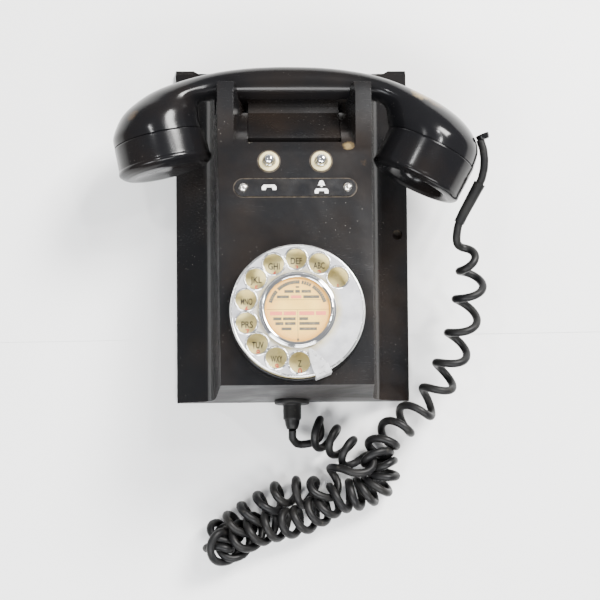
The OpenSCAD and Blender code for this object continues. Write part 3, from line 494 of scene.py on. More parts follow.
# Stains of glue and rust on the mouldings: place in millimetres, radius, strength and colour.
BROWN, OCHRE, PALE = (0.09, 0.055, 0.025), (0.28, 0.2, 0.09), (0.5, 0.46, 0.36)
CASE_STAINS = [((31.8, 47.8, 72.8), 6.0, 0.6, OCHRE), ((32.4, 48.6, 72.6), 3.0, 0.7, PALE),
               ((-26.4, 51.4, 72.2), 5.0, 0.5, PALE), ((0.6, 48.6, 72.7), 2.6, 0.35, PALE),
               ((40.5, 36.0, 72.0), 5.0, 0.35, BROWN)]
HANDSET_STAINS = [((78.0, 80.0, 60.0), 13.0, 0.75, OCHRE), ((86.0, 74.0, 64.0), 9.0, 0.6, BROWN),
                  ((-96.0, 66.0, 70.0), 7.0, 0.35, BROWN)]


def finish(name):
    """Each finish is made once, the first time it is asked for."""
    makers = {
        "case": lambda: black_moulding("black_case", 0.55, 0.2, 0.5, CASE_STAINS),
        "case_dull": lambda: black_moulding("black_case_dull", 0.4, 0.55, 0.4),
        "handset": lambda: black_moulding("black_handset", 0.22, 0.16, 0.3, HANDSET_STAINS, 0.2),
        "cap": lambda: black_moulding("black_cap", 0.3, 0.2, 0.3, (), 0.2),
        "cord": cord_rubber,
        "wheel": satin_aluminium,
        "rim": lambda: plated("bright_rim", (0.86, 0.86, 0.85), 0.16, (0.5, 0.46, 0.34), 0.4, 220),
        "chrome": lambda: plated("chrome_plate", (0.82, 0.82, 0.82), 0.07),
        "nickel": lambda: plated("nickel_plate", (0.76, 0.73, 0.68), 0.16),
        "enamel": aged_enamel,
        "table": table_top,
        "card": old_card,
        "window": clear_sheet,
        "stop": lambda: plain("satin_stop", (0.74, 0.74, 0.75), 0.3, 0.6, other=(0.52, 0.52, 0.5), scale=260),
        "black_ink": lambda: print_ink("black_ink", (0.012, 0.010, 0.009)),
        "red_ink": lambda: print_ink("red_ink", (0.55, 0.03, 0.015)),
        "pink_ink": lambda: print_ink("pink_ink", (0.72, 0.12, 0.07)),
        "white": lambda: worn_white("white_marks"),
        "label": lambda: plain("label_black_plate", (0.007, 0.007, 0.008), 0.22, other=(0.018, 0.016, 0.014),
                               Specular_IOR_Level=0.36),
        "bezel": lambda: plain("yellow_bezel", (0.76, 0.66, 0.36), 0.3, other=(0.48, 0.38, 0.14), scale=220),
        # Dark brown: dirt on the lines round the buttons and the label, and painted shade on the disc low in
        # the hole of the case's wing.
        "grime": lambda: plain("brown_grime", (0.022, 0.016, 0.011), 0.8, other=(0.10, 0.075, 0.045),
                               scale=320),
        "steel": lambda: plated("zinc_steel", (0.55, 0.56, 0.57), 0.32, (0.3, 0.25, 0.2), 0.4, 60),
        "brass": lambda: plated("brass_sheet", (0.68, 0.5, 0.2), 0.25, (0.3, 0.18, 0.06), 0.5, 90),
        "blued": lambda: plated("blued_steel", (0.16, 0.19, 0.3), 0.25, (0.2, 0.12, 0.08), 0.5, 90),
        "bell": lambda: plated("bell_metal", (0.62, 0.45, 0.17), 0.2, (0.25, 0.16, 0.07), 0.5, 60),
        "laminate": lambda: plain("brown_laminate", (0.2, 0.1, 0.045), 0.5, other=(0.12, 0.06, 0.03)),
        "coil": lambda: plain("lacquered_wire", (0.42, 0.12, 0.05), 0.35, other=(0.2, 0.05, 0.03), scale=500),
        "can": lambda: plated("pressed_can", (0.6, 0.6, 0.59), 0.36, (0.4, 0.38, 0.34), 0.5, 80),
    }
    if name not in FINISHES:
        FINISHES[name] = makers[name]()
    return FINISHES[name]


# ---------------------------------------------------------------- stage and camera

def add_camera():
    """Camera above the telephone, looking almost straight down at it. The matrix holds its right, up and
    backward directions as columns."""
    data = bpy.data.cameras.new("camera")
    data.sensor_width = 36.0
    data.lens = 71.72
    data.clip_start, data.clip_end = 0.05, 20.0
    camera = bpy.data.objects.new("camera", data)
    turn = Matrix(((0.99943, 0.00691, -0.03316), (-0.00812, 0.99932, -0.03592), (0.03289, 0.03617, 0.99881)))
    place = turn.to_quaternion().to_matrix().to_4x4()
    place.translation = Vector((-20.867, -69.307, 771.83)) * MM
    camera.matrix_world = place
    bpy.context.scene.collection.objects.link(camera)
    bpy.context.scene.camera = camera


def add_lamp(name, where, aim, size, power, colour=(1, 1, 1)):
    """Rectangular soft lamp of that size in metres, turned towards its aim."""
    data = bpy.data.lights.new(name, "AREA")
    data.shape = "RECTANGLE"
    data.size, data.size_y = size
    data.energy = power
    data.color = colour
    lamp = bpy.data.objects.new(name, data)
    lamp.location = where
    lamp.rotation_mode = "QUATERNION"
    lamp.rotation_quaternion = (Vector(aim) - Vector(where)).to_track_quat("-Z", "Y")
    bpy.context.scene.collection.objects.link(lamp)


def add_stage():
    """Pale table with the straight edge of a second sheet, an even pale surround and soft lamps overhead."""
    world = bpy.data.worlds.new("surround")
    world.use_nodes = True
    background = world.node_tree.nodes["Background"]
    background.inputs["Color"].default_value = (0.93, 0.95, 1.0, 1)
    background.inputs["Strength"].default_value = 0.42
    bpy.context.scene.world = world
    reach, table_z, sheet_z, edge_y, edge_slope = 6.0, -0.0008, -0.0004, -0.0655, 0.01
    x, y = np.meshgrid((-reach, reach), (-reach, reach), indexing="ij")
    table = add_surface("table", [(np.stack([x, y, x * 0 + table_z], -1), False, False)])
    x, y = np.meshgrid((-reach, reach), (0.0, reach), indexing="ij")
    upper = np.stack([x, y + edge_y + edge_slope * x, x * 0 + sheet_z], -1)
    sheet = add_surface("table_sheet", [(upper, False, False)])
    for piece in (table, sheet):
        if piece.data.polygons[0].normal.z < 0:
            piece.data.flip_normals()
        piece.data.materials.append(finish("table"))
    add_lamp("key", (0.85, 0.95, 1.15), (0.0, 0.0, 0.0), (0.6, 0.5), 88.0, (1.0, 0.985, 0.96))
    add_lamp("fill_left", (-0.7, -0.75, 1.25), (0.0, 0.0, 0.0), (0.7, 0.7), 28.0, (0.96, 0.98, 1.0))
    add_lamp("fill_front", (0.35, -1.15, 1.2), (0.0, 0.0, 0.0), (0.9, 0.5), 33.0)
    for name, where in (("spot_left", (-0.42, 0.5, 1.2)), ("spot_right", (0.42, 0.7, 1.2)),
                        ("spot_far", (0.5, 0.4, 1.15))):
        add_lamp(name, where, (0.0, 0.0, 0.05), (0.07, 0.07), 4.0)


# ---------------------------------------------------------------- cord

def coil_stations():
    """The cord's way from the gland to the handset: x, y, z of the coil's middle in millimetres, the radius
    of the coil, the turns so far, and how far each turn leans along the way, in degrees."""
    return np.array([
        (-1.3, -123.9, 16.8, 0.0, 1.40, 0), (-1.4, -126.6, 16.4, 0.0, 1.40, 0),
        (-1.1, -129.8, 14.9, 0.0, 1.40, 0), (0.8, -132.4, 12.4, 0.2, 1.40, 0),
        (4.0, -132.9, 9.6, 1.2, 1.42, -6), (7.4, -130.6, 8.6, 3.8, 1.46, -14),
        (10.6, -127.4, 9.6, 6.8, 1.58, -22), (13.4, -125.7, 10.6, 8.2, 1.90, -28),
        (18.4, -127.8, 10.5, 8.2, 2.50, -28), (23.8, -130.8, 10.4, 8.1, 3.05, -28),
        (28.8, -134.0, 10.4, 8.0, 3.55, -26), (33.6, -137.8, 10.8, 8.0, 4.10, -22),
        (38.4, -142.4, 12.2, 8.0, 4.70, -14), (42.4, -147.6, 15.6, 7.4, 5.10, -4),
        (38.0, -151.6, 17.0, 7.4, 5.28, 4), (30.0, -153.8, 15.8, 7.8, 5.42, 10),
        (23.0, -157.0, 13.2, 8.0, 5.62, 16), (18.2, -160.6, 11.4, 8.0, 6.02, 20),
        (12.8, -164.0, 10.2, 8.0, 6.55, 24), (0.9, -163.9, 10.0, 8.1, 7.55, 28),
        (-10.5, -167.0, 10.0, 8.2, 8.55, 30), (-21.7, -173.4, 10.0, 8.2, 9.70, 30),
        (-33.4, -181.2, 10.0, 8.2, 10.9, 32), (-41.5, -186.8, 10.2, 8.2, 11.9, 36),
        (-46.6, -190.8, 10.6, 8.4, 12.7, 44), (-47.8, -194.0, 11.4, 8.6, 13.4, 30),
        (-45.0, -196.0, 12.2, 8.8, 14.2, -30), (-40.2, -195.2, 12.8, 9.0, 15.1, -46),
        (-34.0, -191.6, 13.2, 9.2, 16.0, -48), (-26.4, -187.2, 13.2, 9.2, 16.9, -42),
        (-16.2, -184.4, 12.8, 8.9, 18.0, -34), (-6.0, -182.6, 12.2, 8.7, 19.1, -30),
        (3.4, -180.4, 11.6, 8.6, 20.1, -28), (12.7, -176.6, 11.2, 8.5, 21.2, -26),
        (22.0, -170.6, 10.8, 8.4, 22.4, -22), (31.4, -166.8, 10.6, 8.4, 23.5, -16),
        (40.7, -165.2, 10.6, 8.4, 24.6, -8), (48.0, -162.6, 10.8, 8.4, 25.6, -2),
        (54.2, -158.2, 11.0, 8.4, 26.6, 4), (56.6, -151.6, 11.2, 8.4, 27.7, 10),
        (54.6, -144.6, 11.6, 8.3, 28.8, 18), (53.6, -138.4, 12.2, 8.2, 29.7, 26),
        (58.6, -129.8, 13.4, 8.2, 30.6, 30), (67.2, -122.0, 15.0, 8.2, 31.4, 30),
        (76.3, -113.6, 17.5, 8.3, 32.2, 26),
        (85.8, -105.0, 20.6, 8.2, 32.8, 14), (92.8, -92.6, 24.6, 8.2, 33.6, 4),
        (99.2, -77.6, 29.0, 8.0, 34.4, -4), (104.0, -61.4, 33.6, 7.9, 35.2, -8),
        (107.4, -44.0, 38.0, 7.9, 36.0, -10), (108.6, -29.6, 41.0, 7.4, 36.75, -10),
        (107.0, -19.0, 43.0, 5.2, 37.35, -6), (102.6, -10.6, 44.6, 2.6, 37.8, 0),
        (100.2, -3.6, 45.4, 0.8, 38.1, 0), (100.8, 2.6, 45.9, 0.0, 38.2, 0),
        (104.2, 10.0, 47.0, 0.0, 38.2, 0), (108.8, 18.6, 48.6, 0.0, 38.2, 0),
        (113.4, 27.2, 50.0, 0.0, 38.2, 0), (115.6, 34.0, 50.6, 0.0, 38.2, 0),
        (116.2, 41.0, 51.2, 0.0, 38.2, 0), (115.4, 48.0, 51.6, 0.0, 38.2, 0),
        (113.6, 53.4, 51.8, 0.0, 38.2, 0),
    ])


def coiled(stations, per_turn):
    """Point = middle + radius * (cos a * side + sin a * rise), where a is the turns so far, side is level and
    square to the way, and rise is tipped along the way by the lean. The samples are spread by effort, which
    counts both the way and the turns."""
    rough = through(stations, 60 * len(stations))
    way = np.concatenate([[0], np.cumsum(np.linalg.norm(np.diff(rough[:, :3], axis=0), axis=1))])
    effort = way / 6.0 + np.abs(rough[:, 4] - rough[0, 4]) * per_turn
    count = int(effort[-1])
    at = np.linspace(0, effort[-1], count)
    s = np.stack([np.interp(at, effort, rough[:, k]) for k in range(rough.shape[1])], 1)
    middle, radius, a, lean = s[:, :3], s[:, 3:4], s[:, 4:5] * 2 * math.pi, np.radians(s[:, 5:6])
    ahead = unit(np.gradient(middle, axis=0))
    side = unit(np.cross((0.0, 0.0, 1.0), ahead))
    rise = np.cross(ahead, side)
    rise = np.cos(lean) * rise + np.sin(lean) * ahead
    radius = np.maximum(radius, 0)
    return middle + radius * (np.cos(a) * side + np.sin(a) * rise)


def settled(path, thick, rounds, floor):
    """Turns that lie in each other are pushed apart: every pair of points nearer than the cord's thickness,
    and not neighbours along it, moves half of what is missing. The moves are averaged along the cord with a
    bell-shaped weight, so that it stays smooth, the two ends are held, and no point sinks under the table."""
    p = path.copy()
    n = len(p)
    step = np.linalg.norm(np.diff(p, axis=0), axis=1).mean()
    near = int(round(2.6 * thick / step))
    width = max(2, int(round(1.3 * thick / step)))
    kernel = np.exp(-0.5 * (np.arange(-2 * width, 2 * width + 1) / width) ** 2)
    kernel /= kernel.sum()
    k = np.arange(n)
    held = np.clip(np.minimum(k, n - 1 - k) / (4.0 * width), 0, 1)[:, None]
    apart = np.abs(k[:, None] - k[None]) > near
    for _ in range(rounds):
        square = (p ** 2).sum(1)
        distance = np.sqrt(np.maximum(square[:, None] + square[None] - 2 * p @ p.T, 1e-9))
        a, b = np.nonzero((distance < thick) & apart)
        gap = distance[a, b]
        push = (p[a] - p[b]) / gap[:, None] * ((thick - gap) * 0.5)[:, None]
        count = np.maximum(np.bincount(a, minlength=n), 1)[:, None]
        move = np.stack([np.bincount(a, push[:, c], n) for c in range(3)], 1) / np.sqrt(count)
        move = np.stack([np.convolve(move[:, c], kernel, "same") for c in range(3)], 1) * 1.6
        p = p + move * held
        p[:, 2] = np.maximum(p[:, 2], floor)
    return p


CORD_MM = 5.0
CORD_LOWEST = CORD_MM / 2 + 0.05
SAMPLES_PER_TURN = 30
ROUNDS, QUICK_ROUNDS = 70, 25


def cord_path():
    """The cord's middle line in millimetres, with its turns settled."""
    path = coiled(coil_stations(), SAMPLES_PER_TURN)
    path[:, 2] = np.maximum(path[:, 2], CORD_LOWEST)
    return settled(path, CORD_MM + 0.15, ROUNDS, CORD_LOWEST)


def add_cord():
    """Curly cord from the gland's boot, over the table and up to the handset, and the sleeve on it."""
    path = cord_path()
    length = np.linalg.norm(np.diff(path, axis=0), axis=1).sum()
    path = even(path, int(length / 1.15))
    cord = add_surface("cord_curly", [closed_tube(path * MM, CORD_MM / 2 * MM, 14)], 60.0)
    cord.data.materials.append(finish("cord"))
    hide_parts("cord_lead_case", "curl_first", "curl_link", "curl_row_upper", "curl_row_lower",
                "curl_fan", "curl_rise_low", "curl_rise_high", "cord_lead_handset", "cord_tail")
    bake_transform(cord)
    rings, sides = 40, 24
    line = through([(101.0, 3.4, 45.9), (104.2, 10.0, 47.0), (108.8, 18.6, 48.6), (113.3, 27.0, 50.0)], rings)
    radius = 3.15 + 0.55 * np.linspace(0, 1, rings) ** 1.5
    sheath = [np.repeat(line[:1][:, None], sides, 1), swept(line, radius, sides)]
    top = swept(line[-2:], radius[-1], sides)[-1:]
    sheath += [line[-1] + (top - line[-1]) * 0.9, np.repeat(line[-1:][:, None], sides, 1)]
    sleeve = add_surface("cord_sleeve_rubber", [(np.concatenate(sheath) * MM, False, True)], 50.0)
    dressed(sleeve, "cord", "handset", ["cord_sleeve"])
    print("cord length mm", round(float(length), 1), "points", len(path))


# ---------------------------------------------------------------- case and cradle

WING_HOLE_X = 67.8
CORD_END_NORMAL, CORD_END_Y = -0.9, -0.1


def add_case(edge_mm):
    """Black case with rounded edges, a dark disc of painted shade low in the hole of its wing, and the steel
    and screws of its back. The end face at the gland is duller than the rest."""
    case = copy_of_node("case", "case_moulding", edge_mm)
    dressed(case, "case", "housing", ["case"])
    case.data.materials.append(finish("case_dull"))
    for face in case.data.polygons:
        face.material_index = int(face.normal.y < CORD_END_NORMAL and face.center.y < CORD_END_Y)
    # Painted shade: a dark disc low in the wing's hole stands in for the shadow inside it. It has the dark
    # brown finish that is dirt elsewhere.
    low, high, radius = 0.2, 0.9, 4.7
    shade_disc = [(0.0, low), (radius, low), (radius, high), (0.0, high)]
    add_turned("wing_hole_bottom", shade_disc, Place((WING_HOLE_X, 0, 0), *np.eye(3)), 40, "grime", "housing")
    finish_nodes("steel", "base_plate")
    finish_nodes("nickel", "case_screws")


def add_cradle(edge_mm):
    """Rocker between the prongs, with rounded edges, and its pin."""
    rocker = copy_of_node("cradle_rocker", "rocker_plate", edge_mm)
    dressed(rocker, "case", "rocker", ["cradle_rocker"])
    finish_nodes("nickel", "rocker_pin")


def finish_nodes(name, *nodes):
    """Gives CAD nodes a finish in place of the plain one they were packed with."""
    for node in nodes:
        data = NODES[node].data
        data.materials.clear()
        data.materials.append(finish(name))


def add_works():
    """Finishes of the parts inside the case and the handset."""
    finish_nodes("brass", "dial_frame", "governor_cup", "impulse_contacts", "main_gear", "impulse_spindle",
                 "governor_spindle", "button_contacts", "hook_contacts", "terminal_screws")
    finish_nodes("steel", "ringer_frame", "hook_lever", "dial_shaft", "clapper")
    finish_nodes("blued", "mainspring", "ringer_magnet")
    finish_nodes("bell", "gongs")
    finish_nodes("nickel", "gong_screws")
    finish_nodes("coil", "ringer_coils", "induction_coil")
    finish_nodes("laminate", "terminal_block")
    finish_nodes("can", "capacitor", "ear_capsule", "mouth_capsule")


# ---------------------------------------------------------------- dial

HOLE_COUNT, HOLE_CIRCLE, HOLE_FIRST, HOLE_STEP = 10, 29.6, 39.2, 25.8
WHEEL_TOP = 13.8
PLATE_PRINT, CARD_PRINT = 6.03, WHEEL_TOP + 0.84
CARD_RING = 21.9


def hole_middles():
    """x and y of the finger holes: angles one step apart on a circle."""
    a = np.radians(HOLE_FIRST + HOLE_STEP * np.arange(HOLE_COUNT))
    return [(HOLE_CIRCLE * math.cos(v), HOLE_CIRCLE * math.sin(v)) for v in a]


def add_dial_body():
    """Black collar, enamel plate and the hooked finger stop."""
    collar = soften([(33.1, 4.95), (38.0, 4.95), (38.5, 4.7), (39.2, 0.02), (37.35, 0.0), (37.35, -4.0),
                     (33.1, -4.0)], 0.5)
    add_turned("dial_collar_ring", collar, DIAL, 144, "case", "housing", ["dial_collar"], True)
    plate = soften([(7.6, 6.0), (30.0, 6.0), (36.2, 6.0), (36.9, 6.35), (37.5, 6.1), (37.55, 5.1),
                    (7.6, 5.1)], 0.35)
    add_turned("number_plate_enamel", plate, DIAL, 144, "enamel", "housing", ["number_plate"], True)
    dressed(copy_of_node("finger_stop", "finger_stop_hook", 0.45), "stop", "housing",
            ["finger_stop"])


def add_wheel():
    """Finger wheel with a rolled outer edge and a raised bright lip round each hole."""
    wheel = copy_of_node("finger_wheel", "finger_wheel_plate", 0.25)
    dressed(wheel, "wheel", "dial", ["finger_wheel"])
    lip = soften([(5.84, -0.7), (5.84, 0.05), (6.05, 0.32), (6.5, 0.34), (6.9, 0.1), (6.95, -0.2)], 0.12, 4)
    lips = [turned(lip, DIAL.moved(x, y, WHEEL_TOP), 56, closed=True) for x, y in hole_middles()]
    edge = soften([(36.6, 13.6), (36.75, 13.95), (37.25, 14.08), (37.75, 13.75), (38.0, 13.0), (38.0, 10.7),
                   (37.6, 10.55), (37.15, 10.8), (37.0, 13.0)], 0.25, 4)
    lips.append(turned(edge, DIAL, 160, closed=True))
    dressed(add_surface("wheel_lips", lips), "rim", "dial")


def add_card():
    """Bright centre ring, printed card and its clear cover."""
    r, top = CARD_RING, DIAL.moved(0, 0, WHEEL_TOP)
    ring = soften([(r - 3.3, 0.02), (r, 0.02), (r, 1.1), (r - 0.35, 1.9), (r - 1.0, 2.1), (r - 1.5, 2.75),
                   (r - 2.4, 2.95), (r - 3.3, 2.6), (r - 3.75, 1.9), (r - 3.6, 1.55), (r - 3.3, 1.6)], 0.3)
    add_turned("card_ring_bright", ring, top, 144, "chrome", "dial", ["card_ring"], True)
    finish_nodes("card", "dial_card")
    cover = soften([(0.0, 1.55), (8.0, 1.5), (17.6, 1.12), (17.75, 0.9), (0.0, 0.95)], 0.05)
    add_turned("card_cover", cover, top, 96, "window", "dial", ["card_window"])
    black, pink = card_marks()
    for name, ink, marks in (("card_print_black", "black_ink", black), ("card_print_red", "pink_ink", pink)):
        dressed(flat_marks(name, marks, DIAL.moved(0, 0, CARD_PRINT)), ink, "dial")


def row_of_marks(x0, x1, y, height, words, gap=0.8):
    """Bars that fill a line from x0 to x1, as long as the given words, with even spaces between them."""
    words = np.asarray(words, float)
    room = (x1 - x0) - gap * (len(words) - 1)
    size = words / words.sum() * room
    start = x0 + np.concatenate([[0], np.cumsum(size + gap)[:-1]])
    same = np.ones(len(size))
    return np.stack([start, start + size, y * same, height * same, 0 * same], 1)


def card_marks():
    """Black and pink marks of the card: rows of plain bars in place of print, two ruled lines, a divider, a
    notch and an arc of short bars. A mark is (x0, x1, y, height, turn)."""
    lines = [(-17.0, 17.0, 5.6, 0.18, 0.0), (-17.6, 17.6, 0.1, 0.18, 0.0), (-0.09, 0.09, -8.2, 16.6, 0.0),
             (-0.55, 0.55, -17.0, 1.3, 0.0)]
    black = [np.array(lines, float), row_of_marks(-1.0, 1.0, 12.9, 1.0, [1]),
             row_of_marks(-7.4, 7.6, 10.4, 1.7, [4, 2, 4]), row_of_marks(-11.6, -4.8, 7.3, 1.7, [5]),
             row_of_marks(3.2, 12.2, 7.3, 1.7, [6]),
             row_of_marks(-13.8, -1.2, -5.2, 1.7, [4, 6]), row_of_marks(0.8, 5.8, -5.2, 1.7, [4]),
             row_of_marks(-12.6, -1.2, -7.9, 1.7, [3, 4]), row_of_marks(0.8, 12.2, -7.9, 1.7, [7]),
             row_of_marks(-9.2, -3.6, -10.9, 1.6, [4]), row_of_marks(0.8, 10.6, -10.9, 1.6, [6])]
    pink = [row_of_marks(-3.8, 2.2, 7.3, 1.7, [4]), row_of_marks(-15.6, -1.0, -2.1, 2.2, [4, 4]),
            row_of_marks(0.8, 15.8, -2.1, 2.2, [6, 4])]
    words, gap, bar, radius = np.array([4, 7, 3, 6], float), 0.07, 0.075, 15.8
    span = math.radians(150.0) - gap * (len(words) - 1)
    size = words / words.sum() * span
    start = math.radians(165.0) - np.concatenate([[0], np.cumsum(size + gap)[:-1]])
    at = np.concatenate([np.linspace(a, a - s, max(2, int(s / bar)) + 1)[:-1] for a, s in zip(start, size)])
    same, half = np.ones(len(at)), radius * bar / 2
    arc = np.stack([-half * same, half * same, radius * same, 2.0 * same, at - gap / 2 - math.pi / 2], 1)
    return np.concatenate(black + [arc]), np.concatenate(pink)


def flat_marks(name, marks, place):
    """One mesh of flat bars: each is a rectangle x0..x1 by height about y, turned about the middle."""
    x0, x1, y, h, turn = marks.T
    x = np.stack([x0, x1, x1, x0], 1)
    yy = np.stack([y - h / 2, y - h / 2, y + h / 2, y + h / 2], 1)
    c, s = np.cos(turn)[:, None], np.sin(turn)[:, None]
    points = np.stack([c * x - s * yy, s * x + c * yy, 0 * x], -1).reshape(-1, 3)
    return add_flat(name, place.put(points), np.arange(len(points)).reshape(-1, 4).tolist())


def add_flat(name, points, faces):
    """A flat piece from points and the corners of its faces."""
    mesh = bpy.data.meshes.new(name)
    mesh.from_pydata(points.tolist(), [], faces)
    mesh.update()
    piece = bpy.data.objects.new(name, mesh)
    bpy.context.scene.collection.objects.link(piece)
    return piece


def letters(name, items, place, bold):
    """One flat mesh of several short texts. An item is (text, x, y, cap height, width or None, turn)."""
    points, faces, start = [], [], 0
    for text, x, y, height, width, turn in items:
        curve = bpy.data.curves.new(name, "FONT")
        curve.body = text
        curve.size = height / 0.7
        curve.offset = bold
        curve.resolution_u = 5
        drawn = bpy.data.objects.new(name + "_text", curve)
        bpy.context.scene.collection.objects.link(drawn)
        mesh = bpy.data.meshes.new_from_object(drawn)
        co = np.zeros(len(mesh.vertices) * 3, np.float32)
        mesh.vertices.foreach_get("co", co)
        co = co.reshape(-1, 3).astype(float)
        low, high = co.min(0), co.max(0)
        co -= (low + high) / 2
        co[:, 2] = 0.0
        if width:
            co[:, 0] *= width / (high[0] - low[0])
        c, s = math.cos(turn), math.sin(turn)
        co = np.stack([c * co[:, 0] - s * co[:, 1] + x, s * co[:, 0] + c * co[:, 1] + y, co[:, 2]], 1)
        points.append(co)
        faces += [[v + start for v in p.vertices] for p in mesh.polygons]
        start += len(co)
        bpy.data.objects.remove(drawn)
        bpy.data.curves.remove(curve)
        bpy.data.meshes.remove(mesh)
    piece = add_flat(name, place.put(np.concatenate(points)), faces)
    bm = bmesh.new()
    bm.from_mesh(piece.data)
    bmesh.ops.remove_doubles(bm, verts=bm.verts, dist=1e-7)
    bm.to_mesh(piece.data)
    bm.free()
    return piece


def add_numbers(letter_mm, digit_mm):
    """Black letter groups and red digits on the plate, one pair under each finger hole."""
    groups = ["", "ABC", "DEF", "GHI", "JKL", "MNO", "PRS", "TUV", "WXY", "Z"]
    letter_width = 2.2
    words = [(g, x + 0.3, y + 0.3, letter_mm, letter_width * len(g), 0.0)
             for g, (x, y) in zip(groups, hole_middles()) if g]
    digits = [(str((k + 1) % 10), x + 0.4, y - 4.0, digit_mm, None, 0.0)
              for k, (x, y) in enumerate(hole_middles())]
    place = DIAL.moved(0, 0, PLATE_PRINT)
    dressed(letters("plate_letters", words, place, 0.1), "black_ink", "housing")
    dressed(letters("plate_digits", digits, place, 0.08), "red_ink", "housing")


# ---------------------------------------------------------------- buttons and label plate

BUTTON_X, BUTTON_Y, LABEL_Y, LABEL_PRINT = 15.3, 37.2, 21.3, 0.93


def add_buttons():
    """Domed chrome push buttons in yellowed rings."""
    places = [on_panel(side * BUTTON_X, BUTTON_Y) for side in (-1, 1)]
    button = soften([(0.0, -11.0), (1.5, -11.0), (1.5, -6.6), (3.7, -6.6), (3.7, 2.3), (3.5, 2.9),
                     (3.05, 3.2), (2.95, 4.6), (2.5, 5.7), (1.5, 6.4), (0.0, 6.6)], 0.5)
    for name, place in zip(("button_left", "button_right"), places):
        dome = add_surface(name + "_dome", [turned(button, place, 64)], 50.0)
        dressed(dome, "chrome", name, [name])
    bezel = soften([(3.78, -6.0), (3.78, 1.2), (4.1, 1.55), (4.7, 1.5), (5.4, 1.2), (5.95, 0.6), (6.0, 0.02),
                    (4.3, 0.0), (4.3, -6.0)], 0.25)
    rings = [turned(bezel, place, 72, closed=True) for place in places]
    dressed(add_surface("button_rings", rings), "bezel", "housing", ["button_bezels"])
    dirt = [(6.0, 0.012), (6.9, 0.012), (6.9, 0.05), (6.0, 0.05)]
    dressed(add_surface("button_grime", [turned(dirt, place, 72, closed=True) for place in places]), "grime",
            "housing")


def stadium(length, height, steps=24):
    """Outline of a bar with round ends: two half circles joined by straight sides."""
    a = np.linspace(-math.pi / 2, math.pi / 2, steps)
    half = (length - height) / 2
    right = np.stack([half + height / 2 * np.cos(a), height / 2 * np.sin(a)], 1)
    return np.vstack([right, -right])


def add_label():
    """Black label plate with round ends, plain white signs, domed screws and a dirty line round it."""
    plate = copy_of_node("label_plate", "label_plate_black", 0.18)
    dressed(plate, "label", "housing", ["label_plate"])
    screws = copy_of_node("label_screws", "label_screw_heads", 0.15, 2, 40.0)
    dressed(screws, "nickel", "housing", ["label_screws"])
    place = on_panel(0.0, LABEL_Y)
    a = np.linspace(0, 2 * math.pi, 25)[:-1]
    bell = np.array([(-1.9, -1.2), (1.9, -1.2), (1.5, -0.7), (1.25, 0.4), (0.8, 1.2), (0.25, 1.5),
                     (-0.25, 1.5), (-0.8, 1.2), (-1.25, 0.4), (-1.5, -0.7)])
    dot = np.stack([0.42 * np.cos(a), 0.42 * np.sin(a)], 1)
    hand = np.array([(-2.6, -0.9), (-1.3, -0.9), (-1.0, 0.1), (1.0, 0.1), (1.3, -0.9), (2.6, -0.9),
                     (2.7, 0.2), (2.0, 1.1), (-2.0, 1.1), (-2.7, 0.2)])
    shapes = [hand * 1.6 + (-BUTTON_X, -0.1), bell * 1.15 + (BUTTON_X, 2.5), dot * 1.2 + (BUTTON_X, 0.6),
              hand * 1.5 + (BUTTON_X, -2.4)]
    points, faces, start = [], [], 0
    for shape in shapes:
        points.append(np.column_stack([shape, np.full(len(shape), LABEL_PRINT)]))
        faces.append(list(range(start, start + len(shape))))
        start += len(shape)
    signs = add_flat("label_signs", place.put(np.concatenate(points)), faces)
    dressed(signs, "white", "housing")
    outer, inner = stadium(72.6, 11.8), stadium(71.0, 10.2)
    z = np.full((len(outer), 1), 0.03)
    line = np.stack([np.hstack([inner, z]), np.hstack([outer, z])])
    dressed(add_surface("label_grime", [(place.put(line), False, True)]), "grime", "housing")


# ---------------------------------------------------------------- handset

# From each cap's rim back to the seam where the handset's body starts.
EAR_DEPTH, MOUTH_DEPTH = 17.0, 21.0


def handset_stations():
    """Sections of the grip from seam to seam: outer x, y, inner x, y and half depth, in millimetres."""
    ear_half, mouth_half = 27.4, 28.6
    ear = EAR.put((0, 0, -EAR_DEPTH))[:2] / MM
    along = ear_half * EAR.basis[0][:2]
    first = (*(ear - along), *(ear + along), ear_half)
    mouth = MOUTH.put((0, 0, -MOUTH_DEPTH))[:2] / MM
    along = mouth_half * MOUTH.basis[0][:2]
    last = (*(mouth + along), *(mouth - along), mouth_half)
    return np.array([
        first, (-109, 54, -57, 66, 26.7), (-106.5, 62, -57.5, 70.5, 25), (-102.5, 68.8, -58, 73.6, 22.6),
        (-95.5, 75.5, -57.5, 75.8, 19.6), (-86, 82, -55.5, 77.4, 16.6), (-74.5, 87.2, -51, 78.4, 13.8),
        (-59.5, 92, -44.5, 78.8, 11), (-44.5, 95.4, -36, 78.9, 9.8), (-29, 97.4, -24, 78.9, 9.6),
        (-14, 98.3, -11, 78.9, 9.5), (1, 98.4, 2, 78.9, 9.5), (16.5, 97.9, 15, 78.9, 9.5),
        (31.7, 96.4, 27.5, 78.9, 9.6), (47, 93.6, 38.5, 78.8, 9.9), (62, 89, 46.5, 78.4, 11.2),
        (77, 82, 52, 77.4, 14), (91, 74, 55.2, 75.4, 17.4), (102.5, 64.6, 56.6, 72.4, 21.4),
        (109.5, 55, 57, 68.8, 25), (112, 45.5, 57.2, 65.4, 27.6), last])


